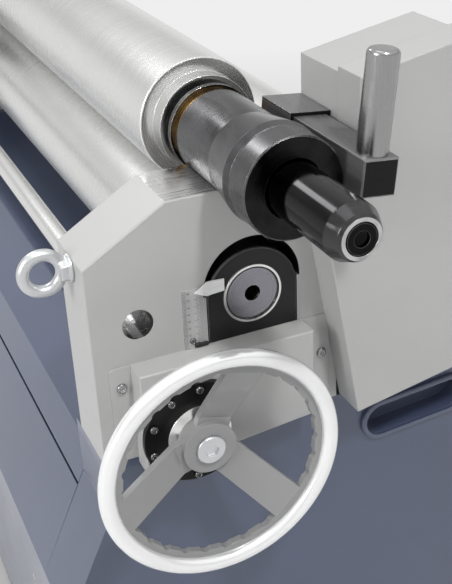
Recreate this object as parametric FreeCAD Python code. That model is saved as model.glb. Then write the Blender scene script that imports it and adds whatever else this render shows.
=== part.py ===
import FreeCAD, Part
import math
import os

from FreeCAD import Vector

os.makedirs("parts", exist_ok=True)

# Driving dimensions, in millimetres. X runs along the rolls, the operator stands at -Y, Z is up.
# While the parts are made, Y and Z are counted from the axis of the lower roll.
roll_axis_height = 900.0
roll_length = 1300.0
shoulder_gap = 62.0
cheek_thickness = 100.0
edge_break = 1.5
running_clearance = 0.06
slide_clearance = 0.3
face_clearance = 0.3
plane_tolerance = 0.1
cut_overrun = 2.0

lower_roll_radius = 90.0
top_roll_radius = 84.0
rear_roll_radius = 84.0
axis_rise = 186.0
axis_set_back = 4.5

inner_face = roll_length / 2 + shoulder_gap
outer_face = inner_face + cheek_thickness
cheek_middle = inner_face + cheek_thickness / 2

# Cheek outline
cheek_front = -222.0
cheek_bottom = -200.0
chamfer_low = 86.0
chamfer_high = 152.0
chamfer_run = 111.0
cheek_back_of_top = 126.0
spare_hole_y = -158.0
spare_hole_z = -4.0
spare_hole_radius = 20.5
left_cheek_top = 290.0
left_cheek_lean = 30.0

# Inclined rear housing, in its own frame: a runs across it, b runs up it
incline = math.radians(10.0)
housing_y = 130.0
housing_z = -196.0
housing_width = 256.0
housing_height = 470.0
housing_depth = 54.0
housing_wall = 6.0
housing_inset = 8.0
housing_notch_z = 140.0
housing_notch_y = 124.0

# Lower roll slide
slot_half_width = 68.5
slot_arc_rise = 13.0
slot_floor = -190.0
block_half_width = 64.5
block_drop = 95.0
strip_top = 10.0
strip_bottom = -150.0
lower_journal_radius = 36.0
bush_wall = 5.0
bush_stand_out = 1.5
centre_hole_radius = 11.0
centre_hole_depth = 40.0
lift_screw_radius = 14.0
lift_screw_bottom = -170.0

# Rear roll slide
rear_axis_a = 130.0
rear_axis_b = 206.0
rear_block_half_width = 57.5
rear_block_half_height = 62.0
rear_slot_low = 70.0
rear_slot_high = 375.0
rear_journal_radius = 32.0
rear_screw_radius = 12.0
rear_screw_length = 84.0

# Top roll, its sleeve and its swivel
journal_radius = 37.0
shoulder_one_radius = 66.0
shoulder_one_length = 26.0
thrust_ring_radius = 59.0
thrust_ring_width = 8.0
bush_flange_radius = 53.5
bush_flange_width = 17.0
bush_outer_radius = 42.0
bush_reach = 68.0
sleeve_radius = 57.0
sleeve_flare_radius = 65.5
sleeve_flare_length = 61.0
sleeve_groove_at = 75.0
sleeve_end = 114.0
end_ring_radius = 63.5
end_ring_bore = 37.0
nose_radius = 34.5
nose_cone_at = 242.0
nose_cone_end = 258.5
nose_end = 263.0
nose_neck_radius = 27.5
nose_face_radius = 24.0
nose_recess_radius = 19.5
nose_recess_depth = 3.0
nose_plug_radius = 17.5
nose_plug_bore = 9.5
cradle_clearance = 0.3
cup_radius = 62.0
ball_radius = 50.0
ball_half_width = 31.0

# Locking bar beside the sleeve, turned a little clockwise
bar_side = 46.0
bar_y = 94.5
bar_z = 193.3
bar_turn = math.radians(-6.0)
bar_inner_end = -90.0
bar_outer_end = 150.0
bar_chamfer = 2.0
pin_radius = 19.0
pin_height = 120.0
pin_inset = 23.0
pin_crown = 6.0
guide_wall = 5.0
guide_outer_end = -20.0

# Hood, flange and handwheel
hood_left = -174.0
hood_right = 71.0
hood_top = -58.0
hood_bottom_left = -210.0
hood_bottom_right = -189.0
hood_depth = 36.0
hood_wall = 2.5
hood_flange_left = 29.0
hood_flange_right = 40.0
hood_corner = 7.0
hood_screw_radius = 7.0
hood_screw_rise = 4.0
hood_screw_left_y = -188.0
hood_screw_right_y = 99.0
hood_screw_top_left_z = -88.0
hood_screw_top_right_z = -117.0
hood_screw_pitch = 70.0
head_round_share = 0.5
hex_key_share = 0.5
hex_key_depth_share = 0.5
wheel_y = -104.0
wheel_z = -157.0
flange_radius = 74.0
flange_flat = 40.0
flange_width = 8.0
cap_bolt_circle = 65.0
cap_bolt_radius = 5.5
cap_bolt_height = 6.0
cap_bolt_count = 10
cap_bolt_phase = math.radians(14.0)
boss_radius = 44.0
boss_width = 14.0
boss_spigot_radius = 22.0
boss_face_radius = 33.0
boss_shoulder = 7.0
wheel_rim_at = 122.0
wheel_rim_radius = 150.5
wheel_rim_tube = 11.0
web_at = 117.0
web_inner_radius = 130.0
web_width = 10.0
scallop_count = 28
scallop_radius = 9.0
scallop_circle = 124.0
hub_radius = 36.0
hub_front = 84.0
hub_back = 60.0
spoke_count = 3
spoke_root_radius = 18.0
spoke_reach_shares = (0.0, 0.2, 0.95, 1.0)
spoke_rise_shares = (0.0, 0.0, 1.0, 1.0)
spoke_root_width = 46.0
spoke_tip_width = 50.0
spoke_thickness = 10.0
spoke_phase = math.radians(-16.0)
wheel_shaft_radius = 12.0
hub_cap_radius = 20.0
hub_cap_height = 6.0
jack_left = -150.0
jack_right = 60.0
jack_top = -80.0
jack_bottom = -184.0
jack_depth = 30.0

# Scale and pointer
scale_left = -98.0
scale_right = -75.0
scale_top = 27.0
scale_bottom = -58.0
scale_thickness = 2.0
scale_screw_y = -87.0
scale_screw_z = -47.0
scale_screw_radius = 4.2
scale_screw_rise = 2.4
pointer_thickness = 1.6
pointer_tip_y = -82.0
pointer_end_y = -84.0
pointer_tip_z = 22.0
pointer_crease_y = -64.0
pointer_fold_y = -58.0
pointer_top_z = 33.0
pointer_low_z = 13.0
pointer_root_taper = 1.5
pointer_root_y = -39.5
pointer_bend_y = -72.0
pointer_lift = 2.6

# Eye bolt
eye_ring_radius = 24.5
eye_wire_radius = 8.0
eye_stand_off = 35.5
eye_z = 70.0
eye_hex_radius = 18.0
eye_hex_height = 12.0
eye_collar_radius = 19.0
eye_collar_height = 4.0
eye_thread_radius = 8.0
eye_thread_length = 27.0
rear_eye_b = 400.0

# Tie bars
tie_bar_radius = 14.0
tie_bar_seat = 25.0
front_tie_y = -200.0
front_tie_z = 48.0
rear_tie_a = 220.0
rear_tie_b = 60.0

# Base cabinet
cabinet_foot = 60.0
cabinet_sheet = 4.0
sheet_lean_share = 0.5
cabinet_back = 395.0
cabinet_front_top = -222.0
cabinet_front_fold_z = -290.0
cabinet_front_low = -300.0
cabinet_front_low_z = -456.0
pedestal_overlap = 22.0
pedestal_inner = inner_face - pedestal_overlap
pedestal_outer_setback = 2.0
deck_front = -130.0
fold_y = -208.0
fold_z = -259.0
seam_y = -232.0
seam_z = -310.0
seam_gap = 2.0
recess_y = 258.0
recess_z = -258.0
recess_half_length = 84.0
recess_half_height = 26.0
recess_depth = 38.0
recess_turn = math.radians(4.0)
lip_width = 7.0
lip_round = 3.5
foot_pad_radius = 42.0
foot_pad_height = 16.0
foot_stud_radius = 11.0
foot_nut_radius = 19.0
foot_nut_height = 12.0
foot_inset = 62.0

# Drive end
drive_gap = 48.0
drive_margin = 160.0
drive_front = -222.0
drive_back = 300.0
drive_top = 330.0
drive_bevel = 70.0
drive_sheet = 4.0
gearbox_half = 78.0
gearbox_width = 90.0
gearbox_inner = outer_face + drive_gap
gearbox_outer = gearbox_inner + gearbox_width
gearbox_corner = 20.0
journal_stub = 10.0
journal_left_end = gearbox_outer + journal_stub
drive_outer = gearbox_outer + drive_margin
motor_radius = 66.0
motor_length = 165.0
motor_fin_count = 18
motor_fin_height = 6.0
motor_fin_width = 3.0
control_inset = 50.0
control_width = 170.0
control_left = control_inset - drive_outer
control_right = control_left + control_width
control_bottom = 90.0
control_top = 290.0
control_depth = 34.0
control_sheet = 3.0
control_corner = 1.5
button_radius = 12.0
button_height = 9.0
button_collar_radius = 16.0
button_collar_height = 4.0
stop_radius = 20.0
stop_height = 19.0
stop_neck = 7.0
stop_round = 4.0
button_rise = 150.0
button_pitch = 46.0
stop_drop = 50.0
button_hole_clearance = 0.5


def box(x_low, x_high, y_low, y_high, z_low, z_high):
    corner = Vector(min(x_low, x_high), y_low, z_low)
    return Part.makeBox(abs(x_high - x_low), y_high - y_low, z_high - z_low, corner)


def rod_x(radius, x_low, x_high, y, z):
    start = Vector(min(x_low, x_high), y, z)
    return Part.makeCylinder(radius, abs(x_high - x_low), start, Vector(1, 0, 0))


def ring_x(outer, inner, x_low, x_high, y, z):
    return rod_x(outer, x_low, x_high, y, z).cut(rod_x(inner, x_low, x_high, y, z))


def prism_x(outline, x_low, x_high):
    points = [Vector(x_low, y, z) for y, z in outline]
    face = Part.Face(Part.makePolygon(points + points[:1]))
    return face.extrude(Vector(x_high - x_low, 0, 0))


def turned_x(profile, y, z):
    points = [Vector(x, y, z + radius) for x, radius in profile]
    face = Part.Face(Part.makePolygon(points + points[:1]))
    return face.revolve(Vector(0, y, z), Vector(1, 0, 0), 360)


def inclined(a, b):
    y = housing_y + a * math.cos(incline) - b * math.sin(incline)
    z = housing_z + a * math.sin(incline) + b * math.cos(incline)
    return y, z


def inclined_panel(a_low, a_high, b_low, b_high, x_low, x_high):
    corners = [(a_low, b_low), (a_high, b_low), (a_high, b_high), (a_low, b_high)]
    return prism_x([inclined(a, b) for a, b in corners], x_low, x_high)


def break_edges(shape, size, wanted):
    edges = [edge for edge in shape.Edges if wanted(edge)]
    return shape.makeChamfer(size, edges) if edges else shape


def on_plane_x(x):
    def wanted(edge):
        bounds = edge.BoundBox
        return abs(bounds.XMin - x) < plane_tolerance and abs(bounds.XMax - x) < plane_tolerance
    return wanted


# Cheeks

def slide_slot(x_low, x_high):
    straight = box(x_low, x_high, -slot_half_width, slot_half_width, slot_floor, slot_arc_rise)
    return straight.fuse(rod_x(slot_half_width, x_low, x_high, 0, slot_arc_rise))


def cheek_tower(x_low, x_high, notch_from):
    tower = inclined_panel(housing_inset, housing_width - housing_inset,
                           housing_inset, housing_height - housing_inset, x_low, x_high)
    above = box(x_low, x_high, -housing_height, cheek_back_of_top, notch_from, housing_height)
    return tower.cut(above)


def cut_common_openings(cheek, x_low, x_high):
    low = x_low - cut_overrun
    high = x_high + cut_overrun
    cheek = cheek.cut(slide_slot(low, high))
    half = rear_block_half_width + slide_clearance
    cheek = cheek.cut(inclined_panel(rear_axis_a - half, rear_axis_a + half,
                                     rear_slot_low, rear_slot_high, low, high))
    cheek = cheek.cut(rod_x(spare_hole_radius, low, high, spare_hole_y, spare_hole_z))
    cheek = cheek.cut(rod_x(wheel_shaft_radius + running_clearance, low, high, wheel_y, wheel_z))
    middle = (x_low + x_high) / 2
    y, z = inclined(rear_axis_a, 0)
    up = Vector(0, -math.sin(incline), math.cos(incline))
    screw_bore = Part.makeCylinder(rear_screw_radius + slide_clearance, rear_slot_low + cut_overrun,
                                   Vector(middle, y, z), up)
    return cheek.cut(screw_bore)


def tie_bar_sockets(side):
    start = side * inner_face
    end = side * (inner_face + tie_bar_seat)
    front = rod_x(tie_bar_radius, start, end, front_tie_y, front_tie_z)
    rear_y, rear_z = inclined(rear_tie_a, rear_tie_b)
    return front.fuse(rod_x(tie_bar_radius, start, end, rear_y, rear_z))


def eye_bolt_tapping(side):
    start = Vector(side * cheek_middle, cheek_front, eye_z)
    front = Part.makeCylinder(eye_thread_radius, eye_thread_length, start, Vector(0, 1, 0))
    y, z = inclined(housing_width - housing_inset, rear_eye_b)
    inward = Vector(0, -math.cos(incline), -math.sin(incline))
    start = Vector(side * cheek_middle, y, z)
    return front.fuse(Part.makeCylinder(eye_thread_radius, eye_thread_length, start, inward))


def right_cheek():
    outline = [(cheek_front, cheek_bottom), (cheek_front, chamfer_low),
               (cheek_front + chamfer_run, chamfer_high), (cheek_back_of_top, chamfer_high),
               (cheek_back_of_top, cheek_bottom)]
    cheek = prism_x(outline, inner_face, outer_face)
    cheek = cheek.fuse(cheek_tower(inner_face, outer_face, chamfer_high)).removeSplitter()
    cheek = break_edges(cheek, edge_break, on_plane_x(outer_face))
    cheek = cut_common_openings(cheek, inner_face, outer_face)
    cradle = rod_x(sleeve_radius + cradle_clearance, inner_face - cut_overrun,
                   outer_face + cut_overrun, axis_set_back, axis_rise)
    cheek = cheek.cut(cradle)
    return cheek.cut(tie_bar_sockets(1)).cut(eye_bolt_tapping(1))


def left_cheek():
    front_of_top = cheek_front + chamfer_run
    outline = [(cheek_front, cheek_bottom), (cheek_front, chamfer_low),
               (front_of_top, chamfer_high), (front_of_top + left_cheek_lean, left_cheek_top),
               (cheek_back_of_top, left_cheek_top), (cheek_back_of_top, cheek_bottom)]
    cheek = prism_x(outline, -outer_face, -inner_face)
    cheek = cheek.fuse(cheek_tower(-outer_face, -inner_face, left_cheek_top)).removeSplitter()
    cheek = cut_common_openings(cheek, -outer_face, -inner_face)
    cup_bore = rod_x(cup_radius, -outer_face - cut_overrun, cut_overrun - inner_face,
                     axis_set_back, axis_rise)
    return cheek.cut(cup_bore).cut(tie_bar_sockets(-1)).cut(eye_bolt_tapping(-1))


def tie_bar(y, z):
    reach = inner_face + tie_bar_seat
    return rod_x(tie_bar_radius, -reach, reach, y, z)


def guide_strips():
    inner = block_half_width + slide_clearance
    strips = []
    for side in (-1, 1):
        x_low = side * inner_face
        x_high = side * outer_face
        strips.append(box(x_low, x_high, inner, slot_half_width, strip_bottom, strip_top))
        strips.append(box(x_low, x_high, -slot_half_width, -inner, strip_bottom, strip_top))
    return Part.makeCompound(strips)


# Lower roll and its slide

def bearing_block(side):
    x_low = side * inner_face
    x_high = side * outer_face
    straight = box(x_low, x_high, -block_half_width, block_half_width, -block_drop, 0)
    block = straight.fuse(rod_x(block_half_width, x_low, x_high, 0, 0)).removeSplitter()
    block = break_edges(block, edge_break, on_plane_x(x_high))
    return block.cut(rod_x(lower_journal_radius + bush_wall, x_low, x_high, 0, 0))


def lower_bushes():
    outer = lower_journal_radius + bush_wall
    inner = lower_journal_radius + running_clearance
    reach = outer_face + bush_stand_out
    return Part.makeCompound([ring_x(outer, inner, side * inner_face, side * reach, 0, 0)
                              for side in (-1, 1)])


def lower_roll():
    half = roll_length / 2
    body = rod_x(lower_roll_radius, -half, half, 0, 0)
    body = body.makeChamfer(edge_break, [edge for edge in body.Edges if len(edge.Vertexes) == 1])
    journal = rod_x(lower_journal_radius, -outer_face, outer_face, 0, 0)
    shoulder_end = inner_face - face_clearance
    shoulder = rod_x(shoulder_one_radius, -shoulder_end, shoulder_end, 0, 0)
    roll = body.fuse(journal).fuse(shoulder)
    for side in (-1, 1):
        start = side * (outer_face - centre_hole_depth)
        roll = roll.cut(rod_x(centre_hole_radius, start, side * outer_face, 0, 0))
    return roll


def lift_screws():
    length = -block_drop - lift_screw_bottom
    screws = [Part.makeCylinder(lift_screw_radius, length,
                                Vector(side * cheek_middle, 0, lift_screw_bottom))
              for side in (-1, 1)]
    return Part.makeCompound(screws)


def jack_gearbox(side):
    x_low = side * outer_face
    x_high = side * (outer_face + jack_depth)
    gearbox = box(x_low, x_high, jack_left, jack_right, jack_bottom, jack_top)
    bore = rod_x(wheel_shaft_radius + running_clearance, x_low, x_high, wheel_y, wheel_z)
    return gearbox.cut(bore)


# Rear roll and its slide

def rear_block(side):
    x_low = side * inner_face
    x_high = side * outer_face
    block = inclined_panel(rear_axis_a - rear_block_half_width, rear_axis_a + rear_block_half_width,
                           rear_axis_b - rear_block_half_height, rear_axis_b + rear_block_half_height,
                           x_low, x_high)
    y, z = inclined(rear_axis_a, rear_axis_b)
    return block.cut(rod_x(rear_journal_radius + bush_wall, x_low, x_high, y, z))


def rear_bushes():
    y, z = inclined(rear_axis_a, rear_axis_b)
    outer = rear_journal_radius + bush_wall
    inner = rear_journal_radius + running_clearance
    return Part.makeCompound([ring_x(outer, inner, side * inner_face, side * outer_face, y, z)
                              for side in (-1, 1)])


def rear_roll():
    y, z = inclined(rear_axis_a, rear_axis_b)
    half = roll_length / 2
    body = rod_x(rear_roll_radius, -half, half, y, z)
    body = body.makeChamfer(edge_break, [edge for edge in body.Edges if len(edge.Vertexes) == 1])
    return body.fuse(rod_x(rear_journal_radius, -outer_face, outer_face, y, z))


def rear_lift_screws():
    top = rear_axis_b - rear_block_half_height
    y, z = inclined(rear_axis_a, top)
    down = Vector(0, math.sin(incline), -math.cos(incline))
    screws = [Part.makeCylinder(rear_screw_radius, rear_screw_length,
                                Vector(side * cheek_middle, y, z), down)
              for side in (-1, 1)]
    return Part.makeCompound(screws)


def rear_housing():
    x_high = outer_face + housing_depth
    shell = inclined_panel(0, housing_width, 0, housing_height, outer_face, x_high)
    notch = box(outer_face, x_high, -housing_height, housing_notch_y, housing_notch_z,
                housing_height)
    shell = shell.cut(notch)
    shell = break_edges(shell, edge_break, on_plane_x(x_high))
    hollow = inclined_panel(housing_wall, housing_width - housing_wall, housing_wall,
                            housing_height - housing_wall, outer_face, x_high - housing_wall)
    wall_notch = box(outer_face, x_high, -housing_height, housing_notch_y + housing_wall,
                     housing_notch_z - housing_wall, housing_height)
    return shell.cut(hollow.cut(wall_notch))


# Top roll, its sleeve and its swivel

def top_roll():
    half = roll_length / 2
    neck = half + shoulder_one_length
    nose = outer_face
    body = [(-journal_left_end, 0), (-journal_left_end, journal_radius), (-neck, journal_radius),
            (-neck, shoulder_one_radius), (-half, shoulder_one_radius),
            (-half, top_roll_radius - edge_break), (edge_break - half, top_roll_radius),
            (half - edge_break, top_roll_radius), (half, top_roll_radius - edge_break),
            (half, shoulder_one_radius), (neck, shoulder_one_radius), (neck, journal_radius),
            (nose + bush_reach, journal_radius), (nose + bush_reach, nose_radius),
            (nose + nose_cone_at, nose_radius), (nose + nose_cone_end, nose_neck_radius),
            (nose + nose_end, nose_face_radius), (nose + nose_end, 0)]
    roll = turned_x(body, axis_set_back, axis_rise)
    recess = rod_x(nose_recess_radius, nose + nose_end - nose_recess_depth, nose + nose_end,
                   axis_set_back, axis_rise)
    return roll.cut(recess)


def nose_plug():
    end = outer_face + nose_end
    start = end - nose_recess_depth
    return ring_x(nose_plug_radius, nose_plug_bore, start, end, axis_set_back, axis_rise)


def thrust_ring():
    end = inner_face - bush_flange_width - face_clearance
    start = end - thrust_ring_width
    return ring_x(thrust_ring_radius, journal_radius + running_clearance, start, end,
                  axis_set_back, axis_rise)


def bronze_bush():
    flange_start = inner_face - bush_flange_width
    profile = [(flange_start, journal_radius + running_clearance),
               (flange_start, bush_flange_radius), (inner_face, bush_flange_radius),
               (inner_face, bush_outer_radius), (outer_face + bush_reach, bush_outer_radius),
               (outer_face + bush_reach, journal_radius + running_clearance)]
    return turned_x(profile, axis_set_back, axis_rise)


def top_sleeve():
    flare_end = outer_face + sleeve_flare_length
    groove = outer_face + sleeve_groove_at
    profile = [(inner_face, bush_outer_radius), (inner_face, sleeve_radius),
               (outer_face, sleeve_radius), (flare_end, sleeve_flare_radius),
               (groove - edge_break, end_ring_radius), (groove, end_ring_radius - edge_break),
               (groove, bush_outer_radius)]
    return turned_x(profile, axis_set_back, axis_rise)


def sleeve_end_ring():
    start = outer_face + sleeve_groove_at
    end = outer_face + sleeve_end
    profile = [(start, end_ring_bore), (start, end_ring_radius - edge_break),
               (start + edge_break, end_ring_radius), (end - edge_break, end_ring_radius),
               (end, end_ring_radius - edge_break), (end, end_ring_bore)]
    return turned_x(profile, axis_set_back, axis_rise)


def swivel_cup():
    cup = rod_x(cup_radius, -cheek_middle - ball_half_width, -cheek_middle + ball_half_width,
                axis_set_back, axis_rise)
    hollow = Part.makeSphere(ball_radius + slide_clearance,
                             Vector(-cheek_middle, axis_set_back, axis_rise))
    return cup.cut(hollow)


def swivel_ball():
    ball = Part.makeSphere(ball_radius, Vector(-cheek_middle, axis_set_back, axis_rise))
    low = axis_set_back - ball_radius
    high = axis_set_back + ball_radius
    band = box(-cheek_middle - ball_half_width, -cheek_middle + ball_half_width,
               low, high, axis_rise - ball_radius, axis_rise + ball_radius)
    bore = rod_x(journal_radius + running_clearance, -outer_face, -inner_face,
                 axis_set_back, axis_rise)
    return ball.common(band).cut(bore)


def gear_motor_gearbox():
    gearbox = box(-gearbox_outer, -gearbox_inner, axis_set_back - gearbox_half,
                  axis_set_back + gearbox_half, axis_rise - gearbox_half, axis_rise + gearbox_half)
    upright = [edge for edge in gearbox.Edges
               if edge.BoundBox.XLength > gearbox_outer - gearbox_inner - plane_tolerance]
    gearbox = gearbox.makeFillet(gearbox_corner, upright)
    bore = rod_x(journal_radius + running_clearance, -gearbox_outer, -gearbox_inner,
                 axis_set_back, axis_rise)
    return gearbox.cut(bore)


def drive_motor():
    x = -(gearbox_outer + gearbox_inner) / 2
    top = axis_rise - gearbox_half
    down = Vector(0, 0, -1)
    motor = Part.makeCylinder(motor_radius - motor_fin_height, motor_length,
                              Vector(x, axis_set_back, top), down)
    for index in range(motor_fin_count):
        fin = Part.makeBox(motor_fin_width, motor_radius, motor_length - 2 * motor_fin_height,
                           Vector(x - motor_fin_width / 2, axis_set_back,
                                  top - motor_length + motor_fin_height))
        fin.rotate(Vector(x, axis_set_back, top), Vector(0, 0, 1), index * 360 / motor_fin_count)
        motor = motor.fuse(fin)
    return motor


# Locking bar

def turned_with_bar(shape):
    shape.rotate(Vector(0, bar_y, bar_z), Vector(1, 0, 0), math.degrees(bar_turn))
    return shape


def locking_bar():
    half = bar_side / 2
    start = outer_face + bar_inner_end
    end = outer_face + bar_outer_end
    bar = box(start, end, bar_y - half, bar_y + half, bar_z - half, bar_z + half)
    bar = break_edges(bar, bar_chamfer, on_plane_x(end))
    return turned_with_bar(bar)


def bar_handle():
    x = outer_face + bar_outer_end - pin_inset
    foot = bar_z + bar_side / 2
    pin = Part.makeCylinder(pin_radius, pin_height, Vector(x, bar_y, foot))
    rims = [edge for edge in pin.Edges if abs(edge.BoundBox.ZMin - foot - pin_height) < plane_tolerance
            and len(edge.Vertexes) == 1]
    return turned_with_bar(pin.makeFillet(pin_crown, rims))


def bar_guide():
    start = inner_face
    end = outer_face + guide_outer_end
    half = bar_side / 2 + slide_clearance
    foot = chamfer_high
    guide = box(start, end, bar_y - half - guide_wall, bar_y + half + guide_wall,
                bar_z - half - guide_wall, bar_z + half + guide_wall)
    guide = guide.cut(box(start, end, bar_y - half, bar_y + half, bar_z - half, bar_z + half))
    guide = turned_with_bar(guide)
    seat = box(start, end, bar_y - half, bar_y + half, foot, bar_z - half - guide_wall / 2)
    guide = guide.fuse(seat).cut(box(start, end, bar_y - bar_side, bar_y + bar_side,
                                     foot - bar_side, foot))
    opening = box(start, end, bar_y - half, bar_y + half, bar_z - half, bar_z + half)
    return guide.cut(turned_with_bar(opening))


# Hood, flange and handwheel

def hood_outline(left, right, grow):
    return [(left, hood_bottom_left - grow), (left, hood_top + grow), (right, hood_top + grow),
            (right, hood_bottom_right - grow)]


def hood():
    front = outer_face + hood_depth
    body = prism_x(hood_outline(hood_left, hood_right, 0), outer_face, front)
    hollow = prism_x(hood_outline(hood_left + hood_wall, hood_right - hood_wall, -hood_wall),
                     outer_face, front - hood_wall)
    left = box(outer_face, outer_face + hood_wall, hood_left - hood_flange_left, hood_left,
               cheek_bottom, hood_top)
    right = box(outer_face, outer_face + hood_wall, hood_right, hood_right + hood_flange_right,
                cheek_bottom, hood_top)
    corners = [edge for edge in left.Edges if edge.BoundBox.XLength > hood_wall - plane_tolerance
               and edge.BoundBox.YMax < hood_left - hood_corner]
    left = left.makeFillet(hood_corner, corners)
    corners = [edge for edge in right.Edges if edge.BoundBox.XLength > hood_wall - plane_tolerance
               and edge.BoundBox.YMin > hood_right + hood_corner]
    right = right.makeFillet(hood_corner, corners)
    body = break_edges(body, edge_break, on_plane_x(front))
    shell = body.cut(hollow).fuse(left).fuse(right)
    bore = rod_x(wheel_shaft_radius + running_clearance, outer_face, front, wheel_y, wheel_z)
    return shell.cut(inclined_panel(0, housing_width, 0, housing_height, outer_face,
                                    outer_face + housing_depth)).cut(bore)


def button_head(x, y, z, radius, rise):
    head = rod_x(radius, x, x + rise, y, z)
    rims = [edge for edge in head.Edges if edge.BoundBox.XMin > x + rise - plane_tolerance
            and len(edge.Vertexes) == 1]
    head = head.makeFillet(rise * head_round_share, rims)
    points = [(y + radius * hex_key_share * math.cos(math.pi * corner / 3),
               z + radius * hex_key_share * math.sin(math.pi * corner / 3)) for corner in range(6)]
    return head.cut(prism_x(points, x + rise * (1 - hex_key_depth_share), x + rise))


def hood_screws():
    x = outer_face + hood_wall
    heads = []
    for y, z in ((hood_screw_left_y, hood_screw_top_left_z),
                 (hood_screw_right_y, hood_screw_top_right_z)):
        heads.append(button_head(x, y, z, hood_screw_radius, hood_screw_rise))
    heads.append(button_head(x, hood_screw_left_y, hood_screw_top_left_z - hood_screw_pitch,
                             hood_screw_radius, hood_screw_rise))
    return Part.makeCompound(heads)


def bearing_flange():
    x = outer_face + hood_depth
    end = x + flange_width
    flange = ring_x(flange_radius, boss_spigot_radius, x, end, wheel_y, wheel_z)
    beyond_flat = box(x, end, wheel_y + flange_flat, wheel_y + flange_radius,
                      wheel_z - flange_radius, wheel_z + flange_radius)
    return flange.cut(beyond_flat)


# The flange has a flat towards the cradle, so the bolt circle is left open there.
def flange_bolts():
    x = outer_face + hood_depth + flange_width
    furthest = flange_flat - cap_bolt_radius - edge_break
    bolts = []
    for index in range(cap_bolt_count):
        angle = cap_bolt_phase + 2 * math.pi * index / cap_bolt_count
        across = cap_bolt_circle * math.cos(angle)
        z = wheel_z + cap_bolt_circle * math.sin(angle)
        if across < furthest:
            bolts.append(button_head(x, wheel_y + across, z, cap_bolt_radius, cap_bolt_height))
    return Part.makeCompound(bolts)


def bearing_boss():
    start = outer_face + hood_depth
    flange_top = start + flange_width
    bore = wheel_shaft_radius + running_clearance
    end = flange_top + boss_width
    profile = [(start, bore), (start, boss_spigot_radius), (flange_top, boss_spigot_radius),
               (flange_top, boss_radius), (flange_top + boss_shoulder, boss_radius),
               (end, boss_face_radius), (end, bore)]
    return turned_x(profile, wheel_y, wheel_z)


def wheel_rim():
    return Part.makeTorus(wheel_rim_radius, wheel_rim_tube,
                          Vector(outer_face + wheel_rim_at, wheel_y, wheel_z), Vector(1, 0, 0))


def spoke(index):
    angle = spoke_phase + 2 * math.pi * index / spoke_count
    tip = web_inner_radius + web_width / 2
    x_root = outer_face + (hub_front + hub_back) / 2
    x_tip = outer_face + web_at
    sections = []
    for reach, rise in zip(spoke_reach_shares, spoke_rise_shares):
        radius = spoke_root_radius + (tip - spoke_root_radius) * reach
        width = spoke_root_width + (spoke_tip_width - spoke_root_width) * rise
        x = x_root + (x_tip - x_root) * rise
        corners = [(x - spoke_thickness / 2, -width / 2), (x + spoke_thickness / 2, -width / 2),
                   (x + spoke_thickness / 2, width / 2), (x - spoke_thickness / 2, width / 2)]
        points = [Vector(px, wheel_y + across, wheel_z + radius) for px, across in corners]
        sections.append(Part.makePolygon(points + points[:1]))
    arm = Part.makeLoft(sections, True, True)
    arm.rotate(Vector(0, wheel_y, wheel_z), Vector(1, 0, 0), math.degrees(angle))
    return arm


def wheel_web():
    x = outer_face + web_at
    web = ring_x(wheel_rim_radius, web_inner_radius, x - web_width / 2, x + web_width / 2,
                 wheel_y, wheel_z)
    for index in range(scallop_count):
        angle = 2 * math.pi * index / scallop_count
        y = wheel_y + scallop_circle * math.cos(angle)
        z = wheel_z + scallop_circle * math.sin(angle)
        web = web.cut(rod_x(scallop_radius, x - web_width, x + web_width, y, z))
    for index in range(spoke_count):
        web = web.fuse(spoke(index))
    hub = rod_x(hub_radius, outer_face + hub_back, outer_face + hub_front, wheel_y, wheel_z)
    web = web.fuse(hub)
    shaft = rod_x(wheel_shaft_radius, outer_face, outer_face + hub_front, wheel_y, wheel_z)
    return web.cut(shaft).cut(wheel_rim())


def hub_cap():
    x = outer_face + hub_front
    return button_head(x, wheel_y, wheel_z, hub_cap_radius, hub_cap_height)


def cross_shaft():
    return rod_x(wheel_shaft_radius, -outer_face - jack_depth, outer_face + hub_front,
                 wheel_y, wheel_z)


# Scale and pointer

def scale_plate():
    return box(outer_face, outer_face + scale_thickness, scale_left, scale_right, scale_bottom,
               scale_top)


def scale_screw():
    return button_head(outer_face + scale_thickness, scale_screw_y, scale_screw_z,
                       scale_screw_radius, scale_screw_rise)


def pointer():
    foot = [(outer_face, pointer_root_y), (outer_face, pointer_fold_y),
            (outer_face + pointer_lift, pointer_bend_y),
            (outer_face + pointer_lift, pointer_end_y),
            (outer_face + pointer_lift + pointer_thickness, pointer_end_y),
            (outer_face + pointer_lift + pointer_thickness, pointer_bend_y),
            (outer_face + pointer_thickness, pointer_fold_y),
            (outer_face + pointer_thickness, pointer_root_y)]
    points = [Vector(x, y, pointer_low_z) for x, y in foot]
    strip = Part.Face(Part.makePolygon(points + points[:1]))
    strip = strip.extrude(Vector(0, 0, pointer_top_z - pointer_low_z))
    outline = [(pointer_tip_y, pointer_tip_z), (pointer_crease_y, pointer_low_z),
               (pointer_root_y, pointer_low_z + pointer_root_taper),
               (pointer_root_y, pointer_top_z - pointer_root_taper),
               (pointer_crease_y, pointer_top_z)]
    reach = pointer_lift + 2 * pointer_thickness
    return strip.common(prism_x(outline, outer_face, outer_face + reach))


# Lifting eye bolts

def eye_bolt_hexagon(base, outward):
    across = outward.cross(Vector(1, 0, 0))
    start = base + outward * eye_collar_height
    points = []
    for corner in range(6):
        angle = math.pi / 6 + math.pi * corner / 3
        points.append(start + Vector(eye_hex_radius * math.cos(angle), 0, 0)
                      + across * (eye_hex_radius * math.sin(angle)))
    return Part.Face(Part.makePolygon(points + points[:1])).extrude(outward * eye_hex_height)


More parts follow.
